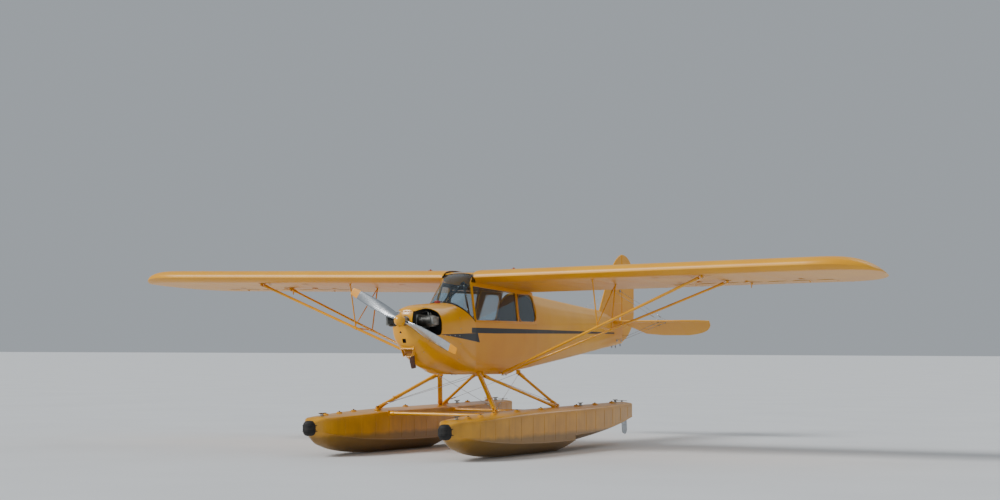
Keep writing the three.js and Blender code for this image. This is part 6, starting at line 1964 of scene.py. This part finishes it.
# %% [markdown]
# # Tail bracing and horns
# Streamlined wires brace the tailplane to the fin above and to the stern below. Where they meet the
# tailplane they share a bolt and a small plate on each surface. Horns for the control cables stand on
# the rudder and under the elevators' torque tube, and three small pulleys that lead the water
# rudders' cables hang under the stern.
# %% Tail wires
STAB_TOP, STAB_LOW = 1.749, 1.707
WIRE_BOLT_X, WIRE_FRONT, WIRE_REAR = 0.760, 4.650, 4.918
# Columns: inner end, outer end, share of the length at which the turnbuckle sits.
TAIL_WIRES = [
    ((0.022, 4.640, 2.190), (WIRE_BOLT_X, WIRE_FRONT, STAB_TOP), 0.86),
    ((0.022, WIRE_REAR, 2.190), (WIRE_BOLT_X, WIRE_REAR, STAB_TOP), 0.86),
    ((0.066, 4.700, 1.440), (WIRE_BOLT_X, WIRE_FRONT, STAB_LOW), 0.86),
    ((0.034, WIRE_REAR, 1.440), (WIRE_BOLT_X, WIRE_REAR, STAB_LOW), 0.86)]
tail_parts = [braced(P(*a), P(*b), 2.6 * MM, share) for a, b, share in TAIL_WIRES]
tail_parts += [bolt_through(P(WIRE_BOLT_X, s, (STAB_TOP + STAB_LOW) / 2), (0, 0, 1), 0.056, 4 * MM)
               for s in (WIRE_FRONT, WIRE_REAR)]
for z in (STAB_TOP - 3.5 * MM, STAB_LOW + 3.5 * MM):
    tail_parts.append(ribbon([P(WIRE_BOLT_X, s, z) for s in even(WIRE_FRONT - 0.02, WIRE_REAR, 8)],
                             [Vector((0.011, 0, 0))] * 8, [UP if z > STAB_Z else -UP] * 8, 2 * MM))
for x, s, z, inner, outer in ((0.020, 4.640, 2.190, 0.006, 0.004), (0.020, WIRE_REAR, 2.190, 0.006, 0.004),
                              (0.062, 4.700, 1.440, 0.010, 0.006), (0.032, WIRE_REAR, 1.440, 0.010, 0.006)):
    tail_parts.append(pad(P(x, s, z), (-inner, -0.016, -0.018), (outer, 0.016, 0.018), 2 * MM))
make_pair("tail_bracing", joined(*tail_parts), stainless_wire, instead_of="tail_wires")


def horn(root, tip, width, thick=3 * MM):
    """A flat arm that narrows from its root to its tip, with a bolt hole's bush at the tip."""
    side, flat = square_to((tip - root).normalized())
    rings = [[p + side * (a * w) + flat * (b * thick / 2) for a, b in ((1, 1), (-1, 1), (-1, -1), (1, -1))]
             for p, w in ((root, width), (root.lerp(tip, 0.6), width * 0.6), (tip, width * 0.35))]
    return joined(skin(rings), turned([(-4 * MM, 5 * MM), (4 * MM, 5 * MM), (4 * MM, 1e-5)], tip, flat, 12))


rudder_arms = [horn(P(side * 0.010, 5.030, 1.520), P(side * 0.105, 5.014, 1.520), 0.022) for side in (1, -1)]
make_piece("rudder_horn", joined(*rudder_arms), black_enamel, body="rudder")


def hanging_pulley(x, station, top, drop=0.030):
    """A small grooved wheel in a fork that hangs from the fuselage, for the water rudders' cables."""
    wheel = turned([(-4 * MM, 0.008), (-4 * MM, 0.015), (0, 0.011), (4 * MM, 0.015), (4 * MM, 0.008)],
                   P(x, station, top - drop), (1, 0, 0), 20)
    sides = [side_plate([(station + ds, top + dz) for ds, dz in (
        (-0.007, 0.012), (0.007, 0.012), (0.007, -drop - 0.008),
        (-0.007, -drop - 0.008))], x + low, x + low + 1.5 * MM)
        for low in (-6.5 * MM, 5 * MM)]
    return joined(wheel, *sides,
                  tube([P(x + dx, station, top - drop) for dx in (-7 * MM, 7 * MM)], 3 * MM, 8))


make_piece("steering_pulleys", joined(*[hanging_pulley(*place) for place in (
    (0.03, 4.72, 1.372), (-0.03, 4.72, 1.372), (0, 4.955, 1.397))]), stainless_wire)
print("tail bracing made")

# %% [markdown]
# # Cabin
# The cabin is bare: a tube frame, a plywood floor, two seats of bent tube with padded canvas
# cushions, a stick and a pair of pedals at each seat, and a black panel with a few dials.
# %% Tubes of the cabin
TUBE_RADIUS, FRONT_CARRY_Z, REAR_CARRY_Z = 12 * MM, 2.114, 2.078
V_TOP = P(0, 0.140, 2.160)
tubes = []
for side in (1, -1):
    low, high = P(side * 0.286, -0.084, 1.690), P(side * 0.192, 0.223, FRONT_CARRY_Z)
    tubes += [tube([V_TOP, P(side * 0.262, -0.150, 1.700)], TUBE_RADIUS, 20),
              tube([low, high], TUBE_RADIUS, 20),
              strut(low - UP * 0.004, low.lerp(high, 0.06), 0.034, 0.030)]
front_middle, rear_middle = P(0, FRONT_SPAR, FRONT_CARRY_Z), P(0, REAR_SPAR, REAR_CARRY_Z)
tubes += [tube([V_TOP, front_middle], TUBE_RADIUS, 20), tube([front_middle, rear_middle], TUBE_RADIUS, 20)]
tubes += [tube([middle + Vector((side * 0.190, 0, 0)) for side in (-1, 1)], 16 * MM, 24)
          for middle in (front_middle, rear_middle)]
gusset = side_plate([(0.135, 2.165), (0.21, 2.14), (0.16, 2.10)], -3 * MM, 3 * MM)
make_piece("cabin_tubes", joined(*tubes, gusset), black_enamel, instead_of=["cabin_frame"])

# %% Panel, dials, sticks and pedals
PANEL_FACE = -0.318
# Columns: distance to port, height, radius, angle of the needle in degrees.
DIALS = [(-0.150, 1.690, 0.040, 40), (-0.050, 1.715, 0.040, -70), (0.050, 1.715, 0.040, 160),
         (0.150, 1.690, 0.040, 15), (-0.095, 1.610, 0.028, 80), (0.0, 1.625, 0.028, -20),
         (0.095, 1.610, 0.028, 200)]
bezels, faces, needles = [], [], []
for x, z, radius, angle in DIALS:
    centre = P(x, PANEL_FACE, z)
    bezels.append(turned([(far * MM, radius + wide * MM) for far,
                          wide in ((0, 5), (5, 5), (7, 2), (6, -1), (1, -1))],
                         centre, (0, 1, 0), 40))
    faces.append(turned([(0.5 * MM, radius), (2 * MM, radius), (2 * MM, 1e-5)], centre, (0, 1, 0), 40))
    way = Vector((cos(radians(angle)), 0, sin(radians(angle))))
    hand = centre + Vector((0, 3.5 * MM, 0))
    needles.append(tube([hand + way * radius * f for f in (-0.2, 0, 0.75)], [1.6 * MM, 1.8 * MM, 0.6 * MM], 6,
                        0.4))
    for t in circle(12):
        tick = Vector((cos(t), 0, sin(t)))
        needles.append(tube([centre + Vector((0, 2.3 * MM, 0)) + tick * radius * f for f in (0.78, 0.92)],
                            0.8 * MM, 5))
make_piece("dial_bezels", joined(*bezels), black_enamel)
make_piece("dial_faces", joined(*faces), crackle_black)
make_piece("dial_needles", joined(*needles), dial_white)
SWITCH_Z = 1.545
switches = [turned([(0, 7 * MM), (3 * MM, 7 * MM), (4 * MM, 3 * MM), (0.018, 2.5 * MM), (0.020, 1e-5)],
                   P(x, PANEL_FACE, SWITCH_Z), (0, 1, -0.3), 12) for x in even(-0.2, -0.08, 4)]
knobs = [turned(profile, P(x, PANEL_FACE, SWITCH_Z), (0, 1, 0), sides) for x in (0.09, 0.16, 0.21)
         for profile, sides in (([(0, 4 * MM), (0.035, 4 * MM)], 12), ([
             (0.030, 5 * MM), (0.034, 13 * MM), (0.046, 13 * MM), (0.052, 8 * MM), (0.052, 1e-5)], 20))]
make_piece("panel_switches", joined(*switches), cast_aluminium)
make_piece("panel_knobs", joined(*knobs), black_enamel)

STICK_LOW, STICK_TOP, FLOOR_TOP = 1.106, 1.440, 1.0925
sticks, stick_grips = [], []
for s in (0.060, 0.880):
    line = [P(0, s, STICK_LOW), P(0, s + 0.002, 1.20), P(0, s + 0.006, 1.32), P(0, s + 0.009, 1.400)]
    sticks.append(tube(line, [11 * MM, 9 * MM, 8.5 * MM, 8.5 * MM], 18))
    sticks.append(turned([(0, 0.026), (0.02, 0.024), (0.045, 0.013), (0.045, 1e-5)],
                         P(0, s, STICK_LOW - 0.004), UP, 20))
    stick_grips.append(turned([(far * MM, wide * MM) for far, wide in (
        (0, 9), (6, 14), (20, 15), (30, 13.5), (45, 15), (60, 13.5), (75, 15), (90, 13.5), (105, 15.5),
        (115, 12),
        (118, 0))], P(0, s + 0.007, STICK_TOP - 0.115), (0, 0.08, 1), 24))
sticks.append(tube([P(0, 0.035, STICK_LOW), P(0, 0.905, STICK_LOW)], 12 * MM, 20))
sticks += [block(P(-0.03, s - 0.02, FLOOR_TOP), P(0.03, s + 0.02, STICK_LOW + 0.004), 3 * MM, 2)
           for s in (0.06, 0.47, 0.88)]
pedals = []
for s, z in ((-0.250, 1.23), (0.62, 1.21)):
    for x in (-0.14, 0.14):
        pedals.append(tube([P(x - 0.045, s, z), P(x + 0.045, s, z)], 9 * MM, 14))
        pedals += [tube([P(x + d, s, z), P(x + d * 0.6, s + 0.01, 1.094)], 6 * MM) for d in (-0.04, 0.04)]
make_piece("stick_tubes", joined(*sticks, *pedals), black_enamel, instead_of=["control_sticks"])
make_piece("stick_grips", joined(*stick_grips), rubber)

# %% [markdown]
# ## Seats
# Each cushion is foam in a canvas cover. It starts as a rounded block a little smaller than the
# solid model's, then a short cloth simulation blows the cover up, which rounds its faces and pulls
# its corners in. The movement is capped, and the underside is pressed flat again.
# %% Seat frames
# Columns: name, front of the cushion, its back, half width, top of the backrest.
SEATS = [("front", 0.250, 0.640, 0.200, 1.700), ("rear", 1.090, 1.470, 0.250, 1.700)]
SEAT_BASE, CUSHION, BACK = 1.330, 0.075, 0.060
RAIL_Z, SEAT_FOOT, SEAT_TUBE = SEAT_BASE - 0.012, 1.096, 9 * MM
for name, front, back, half, top in SEATS:
    side_line = rounded_outline([(front + 0.02, SEAT_FOOT), (front + 0.02, RAIL_Z), (back + 0.066, RAIL_Z),
                                 (back + 0.072, top - 0.03), (back + 0.0721, top - 0.031)], 0.05, 7)[6:-6]
    leg_line = [(back + 0.05, SEAT_FOOT), (back + 0.05, SEAT_BASE - 0.01)]
    bent = [tube([P(x, s, z) for s, z in line], SEAT_TUBE, 14)
            for x in (-half + 0.012, half - 0.012) for line in (side_line, leg_line)]
    bent += [tube([P(-half + 0.012, s, z), P(half - 0.012, s, z)], SEAT_TUBE, 14) for s, z in (
        (front + 0.02, RAIL_Z), (back + 0.066, RAIL_Z), (back + 0.070, top - 0.055), (front + 0.02, 1.15))]
    pan = block(P(-half + 0.01, front + 0.01, SEAT_BASE - 6 * MM), P(half - 0.01, back + 0.055, SEAT_BASE),
                2.5 * MM)
    shell = block(P(-half + 0.012, back + BACK + 3 * MM, SEAT_BASE),
                  P(half - 0.012, back + BACK + 7 * MM, top - 0.04), 1.5 * MM)
    make_piece(f"seat_frame_{name}", joined(*bent), black_enamel, instead_of=[f"seat_base_{name}"])
    make_piece(f"seat_pan_{name}", joined(pan, shell), rolled_aluminium)

# %% Padded cushions
VOXEL = 6 * MM
CHANNEL_DEPTH, CHANNEL_HALF = 7 * MM, 14 * MM
PRESSED = 12 * MM  # what lies within this of the resting face is pressed onto it


def padded_block(name, low, high, solid, flat_axis, way, cap=9 * MM):
    """A canvas cushion between two corners. It swells along flat_axis, forwards or back as way is
    1 or -1, and stays flat where it rests."""
    inset = Vector((cap, cap, cap)) * 0.8
    start = as_object(name, block(low + inset, high - inset, 16 * MM, 4))
    remesh = start.modifiers.new("remesh", "REMESH")
    remesh.mode, remesh.voxel_size = "VOXEL", VOXEL
    graph = bpy.context.evaluated_depsgraph_get()
    start.data = bpy.data.meshes.new_from_object(start.evaluated_get(graph))
    start.modifiers.clear()
    rest = [v.co.copy() for v in start.data.vertices]
    cloth = start.modifiers.new("cloth", "CLOTH")
    cloth.settings.use_pressure = True
    cloth.settings.uniform_pressure_force = 4.0
    cloth.settings.effector_weights.gravity = 0.0
    for frame_number in range(1, 21):
        bpy.context.scene.frame_set(frame_number)
    graph = bpy.context.evaluated_depsgraph_get()
    start.data = bpy.data.meshes.new_from_object(start.evaluated_get(graph))
    start.modifiers.clear()
    bpy.context.scene.frame_set(1)
    floor_at = (low if way > 0 else high)[flat_axis]
    middle, span = (low + high) / 2, high - low
    for v, before in zip(start.data.vertices, rest):
        step = v.co - before
        if step.length > cap:
            step *= cap / step.length
        v.co = before + step
        # Three sewn channels run from front to back (or from top to bottom) of the open face.
        if (v.co[flat_axis] - middle[flat_axis]) * way > 0:
            for channel in (-0.5, 0.0, 0.5):
                gap = abs(v.co.x - middle.x - channel * span.x / 2)
                v.co[flat_axis] -= way * CHANNEL_DEPTH * max(0.0, 1 - gap / CHANNEL_HALF) ** 2
        reach = (v.co[flat_axis] - floor_at) * way
        if reach < PRESSED:
            v.co[flat_axis] = floor_at + way * 0.5 * MM * (1 + reach / PRESSED)
    start.data.materials.append(canvas)
    start.data.shade_smooth()
    finer = start.modifiers.new("finer", "SUBSURF")
    finer.levels = finer.render_levels = 1
    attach(start, "airframe")
    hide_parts(solid)
    PIECES[name] = start


for name, front, back, half, top in SEATS:
    padded_block(f"cushion_{name}", P(-half, front, SEAT_BASE + 0.5 * MM),
                 P(half, back - 1 * MM, SEAT_BASE + CUSHION),
                 f"seat_cushion_{name}", 2, 1)
    padded_block(f"backrest_{name}", P(-half, back, SEAT_BASE + 0.5 * MM), P(half, back + BACK, top),
                 f"seat_back_{name}", 1, -1)
print("cabin made:", len(PIECES), "pieces")
